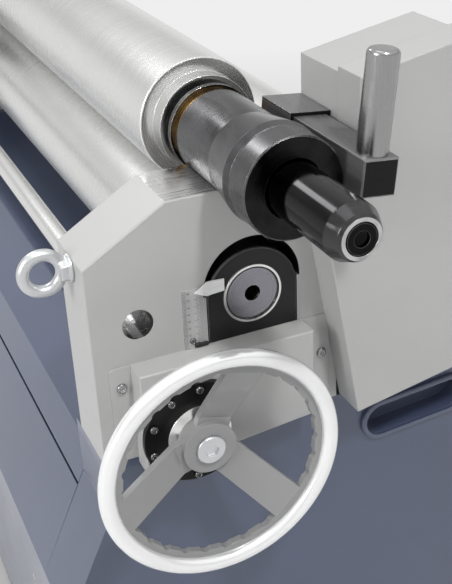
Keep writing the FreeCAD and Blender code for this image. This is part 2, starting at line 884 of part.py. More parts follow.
def eye_bolt(x, y, z, outward):
    base = Vector(x, y, z)
    collar = Part.makeCylinder(eye_collar_radius, eye_collar_height, base, outward)
    shank = Part.makeCylinder(eye_thread_radius, eye_thread_length, base, outward * -1)
    middle = base + outward * eye_stand_off
    ring = Part.makeTorus(eye_ring_radius, eye_wire_radius, middle, Vector(1, 0, 0))
    return collar.fuse(shank).fuse(eye_bolt_hexagon(base, outward)).fuse(ring)


def front_eye_bolts():
    forward = Vector(0, -1, 0)
    return Part.makeCompound([eye_bolt(side * cheek_middle, cheek_front, eye_z, forward)
                              for side in (-1, 1)])


def rear_eye_bolts():
    y, z = inclined(housing_width - housing_inset, rear_eye_b)
    backward = Vector(0, math.cos(incline), math.sin(incline))
    return Part.makeCompound([eye_bolt(side * cheek_middle, y, z, backward) for side in (-1, 1)])


# Base cabinet

def pedestal_outline(inset):
    floor = cabinet_foot - roll_axis_height + inset
    return [(cabinet_front_top + inset, cheek_bottom - inset),
            (cabinet_front_top + inset, cabinet_front_fold_z),
            (cabinet_front_low + inset, cabinet_front_low_z), (cabinet_front_low + inset, floor),
            (cabinet_back - inset, floor), (cabinet_back - inset, cheek_bottom - inset)]


def pedestal(x_inner, x_outer):
    body = prism_x(pedestal_outline(0), x_inner, x_outer)
    side = math.copysign(cabinet_sheet, x_outer - x_inner)
    hollow = prism_x(pedestal_outline(cabinet_sheet), x_inner + side, x_outer - side)
    return body.cut(hollow)


def recess_shape(x_low, x_high, grow):
    half = recess_half_length + grow
    radius = recess_half_height + grow
    straight = box(x_low, x_high, recess_y - half + radius, recess_y + half - radius,
                   recess_z - radius, recess_z + radius)
    shape = straight
    for end in (-1, 1):
        shape = shape.fuse(rod_x(radius, x_low, x_high, recess_y + end * (half - radius), recess_z))
    shape.rotate(Vector(0, recess_y, recess_z), Vector(1, 0, 0), math.degrees(recess_turn))
    return shape


def right_pedestal():
    face = outer_face - pedestal_outer_setback
    body = pedestal(pedestal_inner, face)
    pocket_wall = recess_shape(face - recess_depth, face, cabinet_sheet)
    return body.fuse(pocket_wall).cut(recess_shape(face - recess_depth + cabinet_sheet, face, 0))


def grip_lip():
    face = outer_face - pedestal_outer_setback
    lip = recess_shape(face, face + lip_width, lip_width)
    rims = [edge for edge in lip.Edges if on_plane_x(face + lip_width)(edge)]
    lip = lip.makeFillet(lip_round, rims)
    return lip.cut(recess_shape(face, face + lip_width, 0))


def bent_sheet(line, x_low, x_high):
    outline = list(line)
    for y, z in reversed(line):
        outline.append((y + cabinet_sheet, z - cabinet_sheet * sheet_lean_share))
    return prism_x(outline, x_low, x_high)


def upper_front_panel():
    line = [(deck_front, cheek_bottom - cabinet_sheet), (fold_y, fold_z), (seam_y, seam_z)]
    return bent_sheet(line, -pedestal_inner, pedestal_inner)


def lower_front_panel():
    slope = (cabinet_front_low - seam_y) / (cabinet_front_low_z - seam_z)
    start_z = seam_z - seam_gap - cabinet_sheet * sheet_lean_share
    line = [(seam_y - slope * (seam_z - start_z), start_z), (cabinet_front_low, cabinet_front_low_z),
            (cabinet_front_low, cabinet_foot - roll_axis_height + cabinet_sheet)]
    return bent_sheet(line, -pedestal_inner, pedestal_inner)


def deck():
    return box(-pedestal_inner, pedestal_inner, deck_front,
               cabinet_back - cabinet_sheet, cheek_bottom - cabinet_sheet, cheek_bottom)


def rear_panel():
    return box(-pedestal_inner, pedestal_inner, cabinet_back - cabinet_sheet, cabinet_back,
               cabinet_foot - roll_axis_height, cheek_bottom)


def foot(x, y):
    floor = -roll_axis_height
    underside = floor + cabinet_foot
    pad = Part.makeCylinder(foot_pad_radius, foot_pad_height, Vector(x, y, floor))
    stud = Part.makeCylinder(foot_stud_radius, cabinet_foot, Vector(x, y, floor))
    nut = Part.makeCylinder(foot_nut_radius, foot_nut_height,
                            Vector(x, y, underside - foot_nut_height))
    return pad.fuse(stud).fuse(nut)


def levelling_feet():
    along = (-drive_outer + foot_inset, outer_face - foot_inset)
    across = (cabinet_front_low + foot_inset, cabinet_back - foot_inset)
    return Part.makeCompound([foot(x, y) for x in along for y in across])


# Drive end

def drive_outline(inset):
    return [(drive_front + inset, cheek_bottom), (drive_front + inset, drive_top - drive_bevel),
            (drive_front + drive_bevel + inset, drive_top - inset),
            (drive_back - inset, drive_top - inset), (drive_back - inset, cheek_bottom)]


def drive_housing():
    shell = prism_x(drive_outline(0), -drive_outer, -outer_face)
    shell = break_edges(shell, edge_break, on_plane_x(-drive_outer))
    return shell.cut(prism_x(drive_outline(drive_sheet), -drive_outer + drive_sheet, -outer_face))


def button_places():
    middle = (control_left + control_right) / 2
    row = control_bottom + button_rise
    return {"forward": (middle - button_pitch / 2, row), "reverse": (middle + button_pitch / 2, row)}


def stop_place():
    return (control_left + control_right) / 2, control_bottom + stop_drop


def rod_y(radius, x, y_low, y_high, z):
    return Part.makeCylinder(radius, y_high - y_low, Vector(x, y_low, z), Vector(0, 1, 0))


def control_box():
    front = drive_front - control_depth
    shell = box(control_left, control_right, front, drive_front, control_bottom, control_top)
    edges = [edge for edge in shell.Edges if edge.BoundBox.YMax < front + plane_tolerance]
    shell = shell.makeFillet(control_corner, edges)
    shell = shell.cut(box(control_left + control_sheet, control_right - control_sheet,
                          front + control_sheet, drive_front, control_bottom + control_sheet,
                          control_top - control_sheet))
    for x, z in list(button_places().values()) + [stop_place()]:
        shell = shell.cut(rod_y(button_radius + button_hole_clearance, x, front,
                                front + control_sheet, z))
    return shell


def button_collars():
    front = drive_front - control_depth
    rings = []
    for x, z in button_places().values():
        outer = rod_y(button_collar_radius, x, front - button_collar_height, front, z)
        inner = rod_y(button_radius + button_hole_clearance, x, front - button_collar_height, front, z)
        rings.append(outer.cut(inner))
    return Part.makeCompound(rings)


def push_button(x, z):
    front = drive_front - control_depth
    return rod_y(button_radius, x, front - button_height, front + control_sheet, z)


def stop_button():
    x, z = stop_place()
    front = drive_front - control_depth
    head_back = front - stop_neck
    stem = rod_y(button_radius, x, head_back, front + control_sheet, z)
    head = rod_y(stop_radius, x, head_back - stop_height, head_back, z)
    rims = [edge for edge in head.Edges if len(edge.Vertexes) == 1]
    head = head.makeFillet(stop_round, rims)
    return head.fuse(stem)


def all_parts():
    rear_tie_y, rear_tie_z = inclined(rear_tie_a, rear_tie_b)
    parts = {
        "cheek_right": right_cheek(),
        "cheek_left": left_cheek(),
        "tie_bar_front": tie_bar(front_tie_y, front_tie_z),
        "tie_bar_rear": tie_bar(rear_tie_y, rear_tie_z),
        "guide_strips": guide_strips(),
        "bearing_block_right": bearing_block(1),
        "bearing_block_left": bearing_block(-1),
        "lower_bushes": lower_bushes(),
        "lower_roll": lower_roll(),
        "lift_screws": lift_screws(),
        "jack_gearbox_right": jack_gearbox(1),
        "jack_gearbox_left": jack_gearbox(-1),
        "rear_block_right": rear_block(1),
        "rear_block_left": rear_block(-1),
        "rear_bushes": rear_bushes(),
        "rear_roll": rear_roll(),
        "rear_lift_screws": rear_lift_screws(),
        "rear_housing": rear_housing(),
        "top_roll": top_roll(),
        "nose_plug": nose_plug(),
        "thrust_ring": thrust_ring(),
        "bronze_bush": bronze_bush(),
        "top_sleeve": top_sleeve(),
        "sleeve_end_ring": sleeve_end_ring(),
        "swivel_cup": swivel_cup(),
        "swivel_ball": swivel_ball(),
        "drive_gearbox": gear_motor_gearbox(),
        "drive_motor": drive_motor(),
        "locking_bar": locking_bar(),
        "bar_handle": bar_handle(),
        "bar_guide": bar_guide(),
        "hood": hood(),
        "hood_screws": hood_screws(),
        "bearing_flange": bearing_flange(),
        "flange_bolts": flange_bolts(),
        "bearing_boss": bearing_boss(),
        "handwheel_rim": wheel_rim(),
        "handwheel_web": wheel_web(),
        "hub_cap": hub_cap(),
        "cross_shaft": cross_shaft(),
        "scale_plate": scale_plate(),
        "scale_screw": scale_screw(),
        "pointer": pointer(),
        "eye_bolts_front": front_eye_bolts(),
        "eye_bolts_rear": rear_eye_bolts(),
        "pedestal_right": right_pedestal(),
        "pedestal_left": pedestal(-pedestal_inner, -drive_outer),
        "grip_lip": grip_lip(),
        "front_panel_upper": upper_front_panel(),
        "front_panel_lower": lower_front_panel(),
        "deck": deck(),
        "rear_panel": rear_panel(),
        "levelling_feet": levelling_feet(),
        "drive_housing": drive_housing(),
        "control_box": control_box(),
        "button_collars": button_collars(),
        "stop_button": stop_button(),
    }
    for name, (x, z) in button_places().items():
        parts["button_" + name] = push_button(x, z)
    return parts


parts = all_parts()
whole = Part.makeCompound(list(parts.values())).BoundBox
shift = Vector(-(whole.XMin + whole.XMax) / 2, -(whole.YMin + whole.YMax) / 2, roll_axis_height)
for name, shape in parts.items():
    shape.translate(shift)
    shape.exportStep("parts/" + name + ".step")
    print(name, len(shape.Solids), round(shape.Volume / 1000), "cm3", shape.isValid())
print("size", round(whole.XLength, 1), round(whole.YLength, 1), round(whole.ZLength, 1))
print("moved by", [round(value, 3) for value in shift])
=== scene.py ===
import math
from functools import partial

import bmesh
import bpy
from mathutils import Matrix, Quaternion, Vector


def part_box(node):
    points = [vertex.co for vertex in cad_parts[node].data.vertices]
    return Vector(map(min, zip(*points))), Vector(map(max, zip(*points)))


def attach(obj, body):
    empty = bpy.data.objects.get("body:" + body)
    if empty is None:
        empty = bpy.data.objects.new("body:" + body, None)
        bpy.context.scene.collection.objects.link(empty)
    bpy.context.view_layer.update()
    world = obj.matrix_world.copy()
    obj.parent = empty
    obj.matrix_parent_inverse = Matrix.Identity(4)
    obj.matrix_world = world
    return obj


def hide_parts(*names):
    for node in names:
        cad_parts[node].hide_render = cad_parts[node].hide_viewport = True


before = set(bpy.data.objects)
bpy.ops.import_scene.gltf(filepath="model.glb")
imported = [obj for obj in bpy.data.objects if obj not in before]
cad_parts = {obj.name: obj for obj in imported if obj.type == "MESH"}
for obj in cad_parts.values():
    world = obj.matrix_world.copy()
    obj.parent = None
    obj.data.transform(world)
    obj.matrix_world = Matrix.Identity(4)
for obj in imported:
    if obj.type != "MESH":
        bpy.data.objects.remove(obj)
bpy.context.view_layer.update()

# %% [markdown]
# The object is a sheet metal rolling machine, seen from its free end. The solids come from the CAD
# model with their places and joints, and this file gives them their finish: powder-coated cheeks,
# ground rolls, burnished steel, a chromed handwheel and a painted base cabinet. Nothing that the
# CAD model has is moved here.

scene = bpy.context.scene
scene.view_settings.view_transform = "Standard"

# %% [markdown]
# The camera stands beyond the free end, on the operator's side and above the rolls. A view like
# this can be found by moving a camera by hand until edges line up, or by a fit that a computer
# makes to outlines of known shape. Here it was fitted, and what is left is a place, a
# direction, a small roll, a lens and a shift, so each can be read and changed by itself.

# %% Camera
camera_place = Vector((1.937, -0.552, 1.561))
camera_look = Vector((-0.8123, 0.3431, -0.4716))
camera_roll = math.radians(-2.76)
camera_lens = 65.96
camera_shift = -0.0086


def new_object(name, data):
    item = bpy.data.objects.new(name, data)
    scene.collection.objects.link(item)
    return item


def aim(item, look):
    item.rotation_mode = "QUATERNION"
    item.rotation_quaternion = look.to_track_quat("-Z", "Y")


camera_data = bpy.data.cameras.new("camera")
camera_data.lens = camera_lens
camera_data.shift_y = camera_shift
camera_data.clip_start = 0.02
camera_data.clip_end = 100.0
camera = new_object("camera", camera_data)
camera.location = camera_place
aim(camera, camera_look)
camera.rotation_quaternion = camera.rotation_quaternion @ Quaternion((0.0, 0.0, 1.0), camera_roll)
scene.camera = camera
print("camera looks along", [round(value, 3) for value in camera_look])

# %% [markdown]
# Shader trees are made in code, so small helpers keep them readable. An input takes either a
# plain value or the output of another node, and a colour is written as red, green and blue.

# %% Helpers for shader trees


def feed(tree, socket, value):
    if isinstance(value, bpy.types.NodeSocket):
        tree.links.new(value, socket)
    elif socket.type == "RGBA":
        socket.default_value = (*value, 1.0)
    else:
        socket.default_value = value


def add_node(tree, kind, settings=None, **inputs):
    node = tree.nodes.new("ShaderNode" + kind)
    for name, value in (settings or {}).items():
        setattr(node, name, value)
    for name, value in inputs.items():
        key = int(name[1:]) if name[0] == "_" else name.replace("_", " ")
        feed(tree, node.inputs[key], value)
    return node


print("node helpers ready")

# %% [markdown]
# A Math node does one sum on two values. The helper takes any number of them and works through
# them from left to right, and every operation that is used here gets a short name. A comparison
# gives 1 where it holds and 0 elsewhere, so products of comparisons are masks.

# %% Helpers for sums


def calculate(operation, tree, first, *others):
    for other in others or (0.0,):
        first = add_node(tree, "Math", {"operation": operation}, _0=first, _1=other).outputs[0]
    return first


add = partial(calculate, "ADD")
subtract = partial(calculate, "SUBTRACT")
multiply = partial(calculate, "MULTIPLY")
divide = partial(calculate, "DIVIDE")
maximum = partial(calculate, "MAXIMUM")
absolute = partial(calculate, "ABSOLUTE")
fraction = partial(calculate, "FRACT")
pingpong = partial(calculate, "PINGPONG")
is_above = partial(calculate, "GREATER_THAN")
is_below = partial(calculate, "LESS_THAN")


def spread(tree, value, low, high, new_low, new_high):
    node = add_node(tree, "MapRange", None, Value=value, From_Min=low, From_Max=high,
                    To_Min=new_low, To_Max=new_high)
    return node.outputs["Result"]


def parts_of(tree, vector):
    return add_node(tree, "SeparateXYZ", None, Vector=vector).outputs


print("sum helpers ready")

# %% [markdown]
# Polished steel shows little of its own: what is seen in it is the room. So the room is a
# product photographer's one, pale at the horizon, darker above it and white overhead, which
# lays bright and grey bands along every roll. Light Path tells who is looking. The camera,
# mirrors and glass see the room at full strength, and painted faces are lit by it at about
# half, so that the colours come out about as they are written.

# %% World
room_bands = [(0.00, 0.86), (0.50, 0.86), (0.55, 0.84), (0.61, 0.56), (0.67, 0.66), (0.78, 1.00),
              (1.00, 0.92)]
lit_grey = 0.84
lit_strength = 0.56


def grey(level):
    return (level, level, level)


def seen_directly(tree):
    path = add_node(tree, "LightPath").outputs
    return maximum(tree, path["Is Camera Ray"], path["Is Glossy Ray"], path["Is Transmission Ray"])


world = bpy.data.worlds.new("studio")
world.use_nodes = True
scene.world = world
sky = world.node_tree
sky.nodes.clear()
sky_height = parts_of(sky, add_node(sky, "TexCoord").outputs["Generated"])["Z"]
sky_ramp = add_node(sky, "ValToRGB", None, Fac=spread(sky, sky_height, -1.0, 1.0, 0.0, 1.0))
sky_ramp.color_ramp.interpolation = "EASE"
while len(sky_ramp.color_ramp.elements) < len(room_bands):
    sky_ramp.color_ramp.elements.new(0.5)
for stop, (share, level) in zip(sky_ramp.color_ramp.elements, room_bands):
    stop.position = share
    stop.color = (*grey(level), 1.0)
sky_seen = add_node(sky, "Background", None, Color=sky_ramp.outputs["Color"], Strength=1.0)
sky_light = add_node(sky, "Background", None, Color=grey(lit_grey), Strength=lit_strength)
sky_mix = add_node(sky, "MixShader", None, _0=seen_directly(sky), _1=sky_light.outputs[0],
                   _2=sky_seen.outputs[0])
add_node(sky, "OutputWorld", None, Surface=sky_mix.outputs["Shader"])
print("room bands", room_bands)

# %% [markdown]
# Four soft lamps shape the machine. The key stands on the operator's side, so the faces that
# look that way are the brightest. One hangs overhead for the level faces. A smaller one stands
# high beyond the free end and lets the sleeve throw its shadow down the cheek, and one past the
# drive end is mirrored by every long cylinder as one streak along its whole length.

# %% Lamps
machine_middle = (0.3, 0.0, 0.9)


def soft_lamp(name, place, target, size, power):
    lamp = bpy.data.lights.new(name, "AREA")
    lamp.shape = "DISK"
    lamp.size = size
    lamp.energy = power
    holder = new_object(name, lamp)
    holder.location = place
    aim(holder, Vector(target) - Vector(place))


soft_lamp("key_lamp", (1.6, -4.8, 2.7), machine_middle, 2.2, 112.0)
soft_lamp("front_lamp", (3.0, 0.22, 4.2), (1.0, 0.0, 1.0), 0.42, 74.0)
soft_lamp("overhead_lamp", (0.6, -0.8, 5.0), machine_middle, 2.6, 19.0)
soft_lamp("streak_lamp", (-3.9, -1.4, 4.3), machine_middle, 1.3, 40.0)

# %% [markdown]
# An effect that several finishes share is a node group: it is built once, has named inputs and
# outputs, and each material uses it with its own values. These helpers open a group, close it,
# and place it in a material.

# %% Helpers for node groups
surface_outputs = [("Colour", "Color"), ("Roughness", "Float"), ("Height", "Float")]


def open_group(name, inputs, outputs):
    tree = bpy.data.node_groups.new(name, "ShaderNodeTree")
    for label, kind, value in inputs:
        socket = tree.interface.new_socket(label, in_out="INPUT", socket_type="NodeSocket" + kind)
        socket.default_value = value
    for label, kind in outputs:
        tree.interface.new_socket(label, in_out="OUTPUT", socket_type="NodeSocket" + kind)
    given = tree.nodes.new("NodeGroupInput").outputs
    end = tree.nodes.new("NodeGroupOutput").inputs
    return tree, given, end


def close_group(tree, end, **results):
    for name, value in results.items():
        tree.links.new(value, end[name])
    print("group", tree.name)
    return tree


def use_group(tree, group, **inputs):
    node = tree.nodes.new("ShaderNodeGroup")
    node.node_tree = group
    for name, value in inputs.items():
        feed(tree, node.inputs[name.replace("_", " ")], value)
    return node.outputs


print("group helpers ready")

# %% [markdown]
# Most effects start from the place on the piece, which the Object output gives in metres, and
# pass it through a noise. Vector Math nodes move and stretch that place, or scale a colour.

# %% Helpers for places and noises


def own_place(tree):
    return add_node(tree, "TexCoord").outputs["Object"]


def noise(tree, place, scale, detail, roughness=0.5, distortion=0.0):
    node = add_node(tree, "TexNoise", None, Vector=place, Scale=scale, Detail=detail,
                    Roughness=roughness, Distortion=distortion)
    return node.outputs["Fac"]


def vector_math(tree, operation, first, second=(0.0, 0.0, 0.0)):
    node = add_node(tree, "VectorMath", {"operation": operation}, _0=first, _1=second)
    return node.outputs["Value" if operation in ("LENGTH", "DOT_PRODUCT") else "Vector"]


def scaled(tree, colour, share):
    node = add_node(tree, "VectorMath", {"operation": "SCALE"}, _0=colour, Scale=share)
    return node.outputs["Vector"]


print("noise helpers ready")

# %% [markdown]
# Every edge of a real machine is slightly round and catches the light, and paint or blacking is
# rubbed through there first. The Bevel node gives a normal that is rounded near an edge. Where it
# differs from the true normal there is an edge, so the same node gives both the soft normal and a
# mask for the edges. The paler colour laid along that mask paints their wear together with a
# highlight on them. A noise breaks the mask up.

# %% Group: worn and highlit edges


def make_worn_edges():
    tree, given, end = open_group(
        "worn_and_highlit_edges",
        [("Width", "Float", 0.001), ("Amount", "Float", 0.5), ("Patchiness", "Float", 0.5)],
        [("Mask", "Float"), ("Normal", "Vector")])
    soft = add_node(tree, "Bevel", {"samples": 5}, Radius=given["Width"]).outputs["Normal"]
    true = add_node(tree, "NewGeometry").outputs["Normal"]
    edge = spread(tree, vector_math(tree, "DOT_PRODUCT", soft, true), 0.99, 0.80, 0.0, 1.0)
    speckle = noise(tree, own_place(tree), 160.0, 4.0, 0.6)
    patch = spread(tree, speckle, 0.35, 0.62, 0.0, 1.0)
    solid = subtract(tree, 1.0, given["Patchiness"])
    patch = maximum(tree, patch, solid)
    # The edge mask carries a paler colour: painted highlight on the edges together with their wear.
    mask = multiply(tree, edge, patch, given["Amount"])
    return close_group(tree, end, Mask=mask, Normal=soft)


worn_and_highlit_edges = make_worn_edges()

# %% [markdown]
# Powder coat is one colour with a faint orange peel and slow, very weak changes of tone from
# handling and dust. One fine noise makes the peel and one broad noise the tone. Plating and
# blacking are thin coats too and use the same group, with a stronger tone.

# %% Group: powder coat


def make_powder_coat():
    tree, given, end = open_group(
        "powder_coat",
        [("Colour", "Color", (0.5, 0.5, 0.5, 1.0)), ("Tone", "Float", 0.08),
         ("Gloss", "Float", 0.45)], surface_outputs)
    place = own_place(tree)
    broad = noise(tree, place, 5.0, 5.0, 0.55)
    peel = noise(tree, place, 520.0, 2.0)
    lift = subtract(tree, broad, 0.5)
    lift = multiply(tree, lift, given["Tone"], 2.0)
    tone = scaled(tree, given["Colour"], add(tree, lift, 1.0))
    haze = spread(tree, broad, 0.3, 0.7, -0.05, 0.05)
    shine = add(tree, haze, given["Gloss"])
    return close_group(tree, end, Colour=tone, Roughness=shine, Height=peel)


powder_coat = make_powder_coat()

# %% [markdown]
# Ground, milled and brushed steel all show fine lines in one direction. A noise that is
# stretched along one axis makes them: the Stretch input gives the frequency along X, Y and Z,
# and the axis with the low number is the one the lines run along.

# %% Group: brush marks


def make_brush_marks():
    tree, given, end = open_group(
        "brush_marks",
        [("Colour", "Color", (0.6, 0.6, 0.6, 1.0)), ("Stretch", "Vector", (4.0, 600.0, 600.0)),
         ("Contrast", "Float", 0.25), ("Gloss", "Float", 0.28)], surface_outputs)
    place = own_place(tree)
    pulled = vector_math(tree, "MULTIPLY", place, given["Stretch"])
    lines = noise(tree, pulled, 1.0, 5.0, 0.65)
    smear = noise(tree, place, 14.0, 4.0, distortion=0.6)
    shift = subtract(tree, lines, 0.5)
    shift = multiply(tree, shift, given["Contrast"])
    tone = scaled(tree, given["Colour"], add(tree, shift, 1.0))
    stain = spread(tree, smear, 0.35, 0.7, -0.05, 0.09)
    shine = add(tree, stain, given["Gloss"], shift)
    return close_group(tree, end, Colour=tone, Roughness=shine, Height=lines)


brush_marks = make_brush_marks()

# %% [markdown]
# A turned piece has rings round its axis, on its outside as well as on its end faces. Both come
# from one noise whose two coordinates are the place along the axis and the distance from it.
# Oil and handling leave longer blotches on top, which the Mottle input makes stronger.

# %% Group: lathe marks


def from_axis(tree, place, axis_point):
    arm = vector_math(tree, "SUBTRACT", place, axis_point)
    flat = vector_math(tree, "MULTIPLY", arm, (0.0, 1.0, 1.0))
    return arm, vector_math(tree, "LENGTH", flat)


def make_lathe_marks():
    tree, given, end = open_group(
        "lathe_marks",
        [("Colour", "Color", (0.3, 0.3, 0.3, 1.0)), ("Axis Point", "Vector", (0.0, 0.0, 0.0)),
         ("Pitch", "Float", 900.0), ("Contrast", "Float", 0.3), ("Mottle", "Float", 0.3),
         ("Gloss", "Float", 0.25)], surface_outputs)
    place = own_place(tree)
    arm, distance = from_axis(tree, place, given["Axis Point"])
    rolled_out = add_node(tree, "CombineXYZ", None, X=parts_of(tree, arm)["X"], Y=distance)
    rings = noise(tree, rolled_out.outputs["Vector"], given["Pitch"], 3.0, 0.6)
    pulled = vector_math(tree, "MULTIPLY", place, (0.30, 1.0, 1.0))
    smear = noise(tree, pulled, 34.0, 5.0, distortion=0.5)
    shift = subtract(tree, rings, 0.5)
    shift = multiply(tree, shift, given["Contrast"])
    stain = spread(tree, smear, 0.35, 0.7, -0.5, 0.5)
    stain = multiply(tree, stain, given["Mottle"])
    tone = scaled(tree, given["Colour"], add(tree, shift, 1.0, stain))
    haze = multiply(tree, stain, 0.25)
    shine = add(tree, haze, given["Gloss"], shift)
    return close_group(tree, end, Colour=tone, Roughness=shine, Height=rings)


lathe_marks = make_lathe_marks()

# %% [markdown]
# Many pieces are finished differently on their ends, on their level faces and inside a bore, and
# several have painted shade on their ends and in their holes. So that one piece needs only one
# material, a small group tells the faces apart by their normal, and gives the distance from an axis
# for what lies round it.

# %% Group: face zones


def make_face_zones():
    tree, given, end = open_group(
        "face_zones", [("Axis Point", "Vector", (0.0, 0.0, 0.0))],
        [("End", "Float"), ("Up", "Float"), ("Wall", "Float"), ("Distance", "Float")])
    normal = parts_of(tree, add_node(tree, "NewGeometry").outputs["Normal"])
    tilt = absolute(tree, normal["X"])
    distance = from_axis(tree, own_place(tree), given["Axis Point"])[1]
    return close_group(tree, end, End=is_above(tree, tilt, 0.9),
                       Up=is_above(tree, normal["Z"], 0.95),
                       Wall=is_below(tree, tilt, 0.5), Distance=distance)


face_zones = make_face_zones()

# %% [markdown]
# The base and the drive housing have covers let into their sheet: a fine gap round a plate, a sunk
# screw in each corner and, where something needs air, a row of slots. They lie flush, so they are
# drawn by the shader from two coordinates on the face, counted from the cover's middle. The fine
# gap is a dark joint, while the black of the screw sockets and the slots is painted shade inside
# them. Folding both coordinates about the middle makes four corners from one.

# %% Group: access cover
cover_line = 0.0011
cover_inset = 0.017
cover_screw = 0.0055
cover_socket = 0.0023
slot_pitch = 0.024
slot_share = 0.3
slot_margin_across = 0.045
slot_margin_up = 0.040


def make_access_cover():
    tree, given, end = open_group(
        "access_cover",
        [("Across", "Float", 0.0), ("Up", "Float", 0.0), ("Width", "Float", 0.3),
         ("Height", "Float", 0.2), ("Slotted", "Float", 0.0)],
        [("Gap", "Float"), ("Screw", "Float")])
    past = []
    for along, size in (("Across", "Width"), ("Up", "Height")):
        folded = absolute(tree, given[along])
        half = multiply(tree, given[size], 0.5)
        past.append(subtract(tree, folded, half))
    rim = absolute(tree, maximum(tree, *past))
    seam = is_below(tree, rim, cover_line)
    corner = add_node(tree, "CombineXYZ", None, X=add(tree, past[0], cover_inset),
                      Y=add(tree, past[1], cover_inset))
    reach = vector_math(tree, "LENGTH", corner.outputs["Vector"])
    head = is_below(tree, reach, cover_screw)
    socket = is_below(tree, reach, cover_socket)
    count = fraction(tree, divide(tree, given["Up"], slot_pitch))
    slots = multiply(tree, is_below(tree, count, slot_share),
                     is_below(tree, past[0], -slot_margin_across),
                     is_below(tree, past[1], -slot_margin_up), given["Slotted"])
    gap = maximum(tree, seam, socket, slots)
    return close_group(tree, end, Gap=gap, Screw=head)


access_cover = make_access_cover()

# %% [markdown]
# Each finish is a material with its own Principled shader. The helpers open one and join a shared
# effect to it: colour, roughness, and a bump whose base is the soft normal at the edges, with the
# colour of the edges mixed in, which paints their wear together with a highlight on them.

# %% Helpers for materials


def blend_colours(tree, share, first, second):
    node = add_node(tree, "Mix", {"data_type": "RGBA"}, _0=share, _6=first, _7=second)
    return node.outputs[2]


def open_material(name, metallic=0.0, coat=0.0):
    made = bpy.data.materials.new(name)
    made.use_nodes = True
    tree = made.node_tree
    tree.nodes.clear()
    shader = add_node(tree, "BsdfPrincipled", None, Metallic=metallic, Coat_Weight=coat)
    end = tree.nodes.new("ShaderNodeOutputMaterial")
    tree.links.new(shader.outputs["BSDF"], end.inputs["Surface"])
    return made, tree, shader


def rubbed(tree, width, amount, patchiness):
    return use_group(tree, worn_and_highlit_edges, Width=width, Amount=amount, Patchiness=patchiness)


def join_surface(tree, shader, colour, roughness, height, normal, depth):
    bump = add_node(tree, "Bump", None, Height=height, Normal=normal, Strength=1.0,
                    Distance=depth)
    tree.links.new(colour, shader.inputs["Base Color"])
    tree.links.new(roughness, shader.inputs["Roughness"])
    tree.links.new(bump.outputs["Normal"], shader.inputs["Normal"])


def join_effect(tree, shader, effect, edges, edge_colour, depth):
    colour = blend_colours(tree, edges["Mask"], effect["Colour"], edge_colour)
    join_surface(tree, shader, colour, effect["Roughness"], effect["Height"], edges["Normal"],
                 depth)


print("material helpers ready")

# %% [markdown]
# The most used finish is a thin coat, which is paint, plating or blacking, as its values say. Where
# no colour is given for the edges, it is a paler tone of the coat, a painted highlight on them
# together with their wear. A finish is put on a piece by giving it to all the material slots that
# came with the piece.

# %% Helpers for coats
paint_edge_band = 0.0016
paint_patchiness = 0.15
paint_relief = 0.00003
edge_lift = 1.35


def paler(colour):
    return tuple(min(1.0, value * edge_lift) for value in colour)


def coated(name, colour, gloss, tone=0.08, coat=0.0, wear_and_highlight=0.35, edge_colour=None,
           edge_width=paint_edge_band, patchiness=paint_patchiness, metallic=0.0, depth=paint_relief):
    made, tree, shader = open_material(name, metallic, coat)
    effect = use_group(tree, powder_coat, Colour=colour, Tone=tone, Gloss=gloss)
    edges = rubbed(tree, edge_width, wear_and_highlight, patchiness)
    join_effect(tree, shader, effect, edges, edge_colour or paler(colour), depth)
    return made


def dress(material, *names):
    for name in names:
        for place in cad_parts[name].material_slots:
            place.material = material


print("coat helpers ready")

# %% [markdown]
# The cheeks, the hood, the rear housing and the drive housing share one light grey powder coat.

# %% Light grey paint
paint_grey = (0.47, 0.47, 0.465)
grey_finish = {"gloss": 0.42, "tone": 0.08, "coat": 0.15, "wear_and_highlight": 0.35}
grey_paint = coated("light_grey_paint", paint_grey, **grey_finish)
dress(grey_paint, "rear_housing", "hood", "control_box", "guide_strips")
print("light grey", grey_paint.name)

# %% [markdown]
# The drive housing has a slotted cover in its end wall, so its paint is made by a function that
# also draws such a cover, and the blue base takes its covers from the same function later. The
# cover shows only on faces that look the given way, and a fold sets two of them side by side.

# %% Paint with a cover in it
plate_grey = (0.60, 0.61, 0.62)
gap_black = (0.012, 0.012, 0.013)
facing_share = 0.97
peel_share = 0.04
cover_depth = 0.0008


def covered(name, colour, cover, facing, across, fold, level, gloss, tone, coat, wear_and_highlight):
    made, tree, shader = open_material(name, coat=coat)
    effect = use_group(tree, powder_coat, Colour=colour, Tone=tone, Gloss=gloss)
    edges = rubbed(tree, paint_edge_band, wear_and_highlight, paint_patchiness)
    place = parts_of(tree, own_place(tree))
    normal = parts_of(tree, add_node(tree, "NewGeometry").outputs["Normal"])
    side = multiply(tree, normal[facing[0]], facing[1])
    side = is_above(tree, side, facing_share)
    along = subtract(tree, place[across[0]], across[1])
    if fold:
        along = subtract(tree, absolute(tree, along), fold)
    up = subtract(tree, place["Z"], level)
    plate = use_group(tree, access_cover, Across=along, Up=up, Width=cover[0], Height=cover[1],
                      Slotted=cover[2])
    gap = multiply(tree, plate["Gap"], side)
    head = multiply(tree, plate["Screw"], side)
    head = subtract(tree, head, multiply(tree, head, gap))
    shade = blend_colours(tree, edges["Mask"], effect["Colour"], paler(colour))
    shade = blend_colours(tree, head, shade, plate_grey)
    # Painted shade: the screw sockets and slots are coloured black; the fine seam is a dark joint.
    shade = blend_colours(tree, gap, shade, gap_black)
    peel = multiply(tree, effect["Height"], peel_share)
    join_surface(tree, shader, shade, effect["Roughness"], subtract(tree, peel, gap),
                 edges["Normal"], cover_depth)
    tree.links.new(head, shader.inputs["Metallic"])
    return made


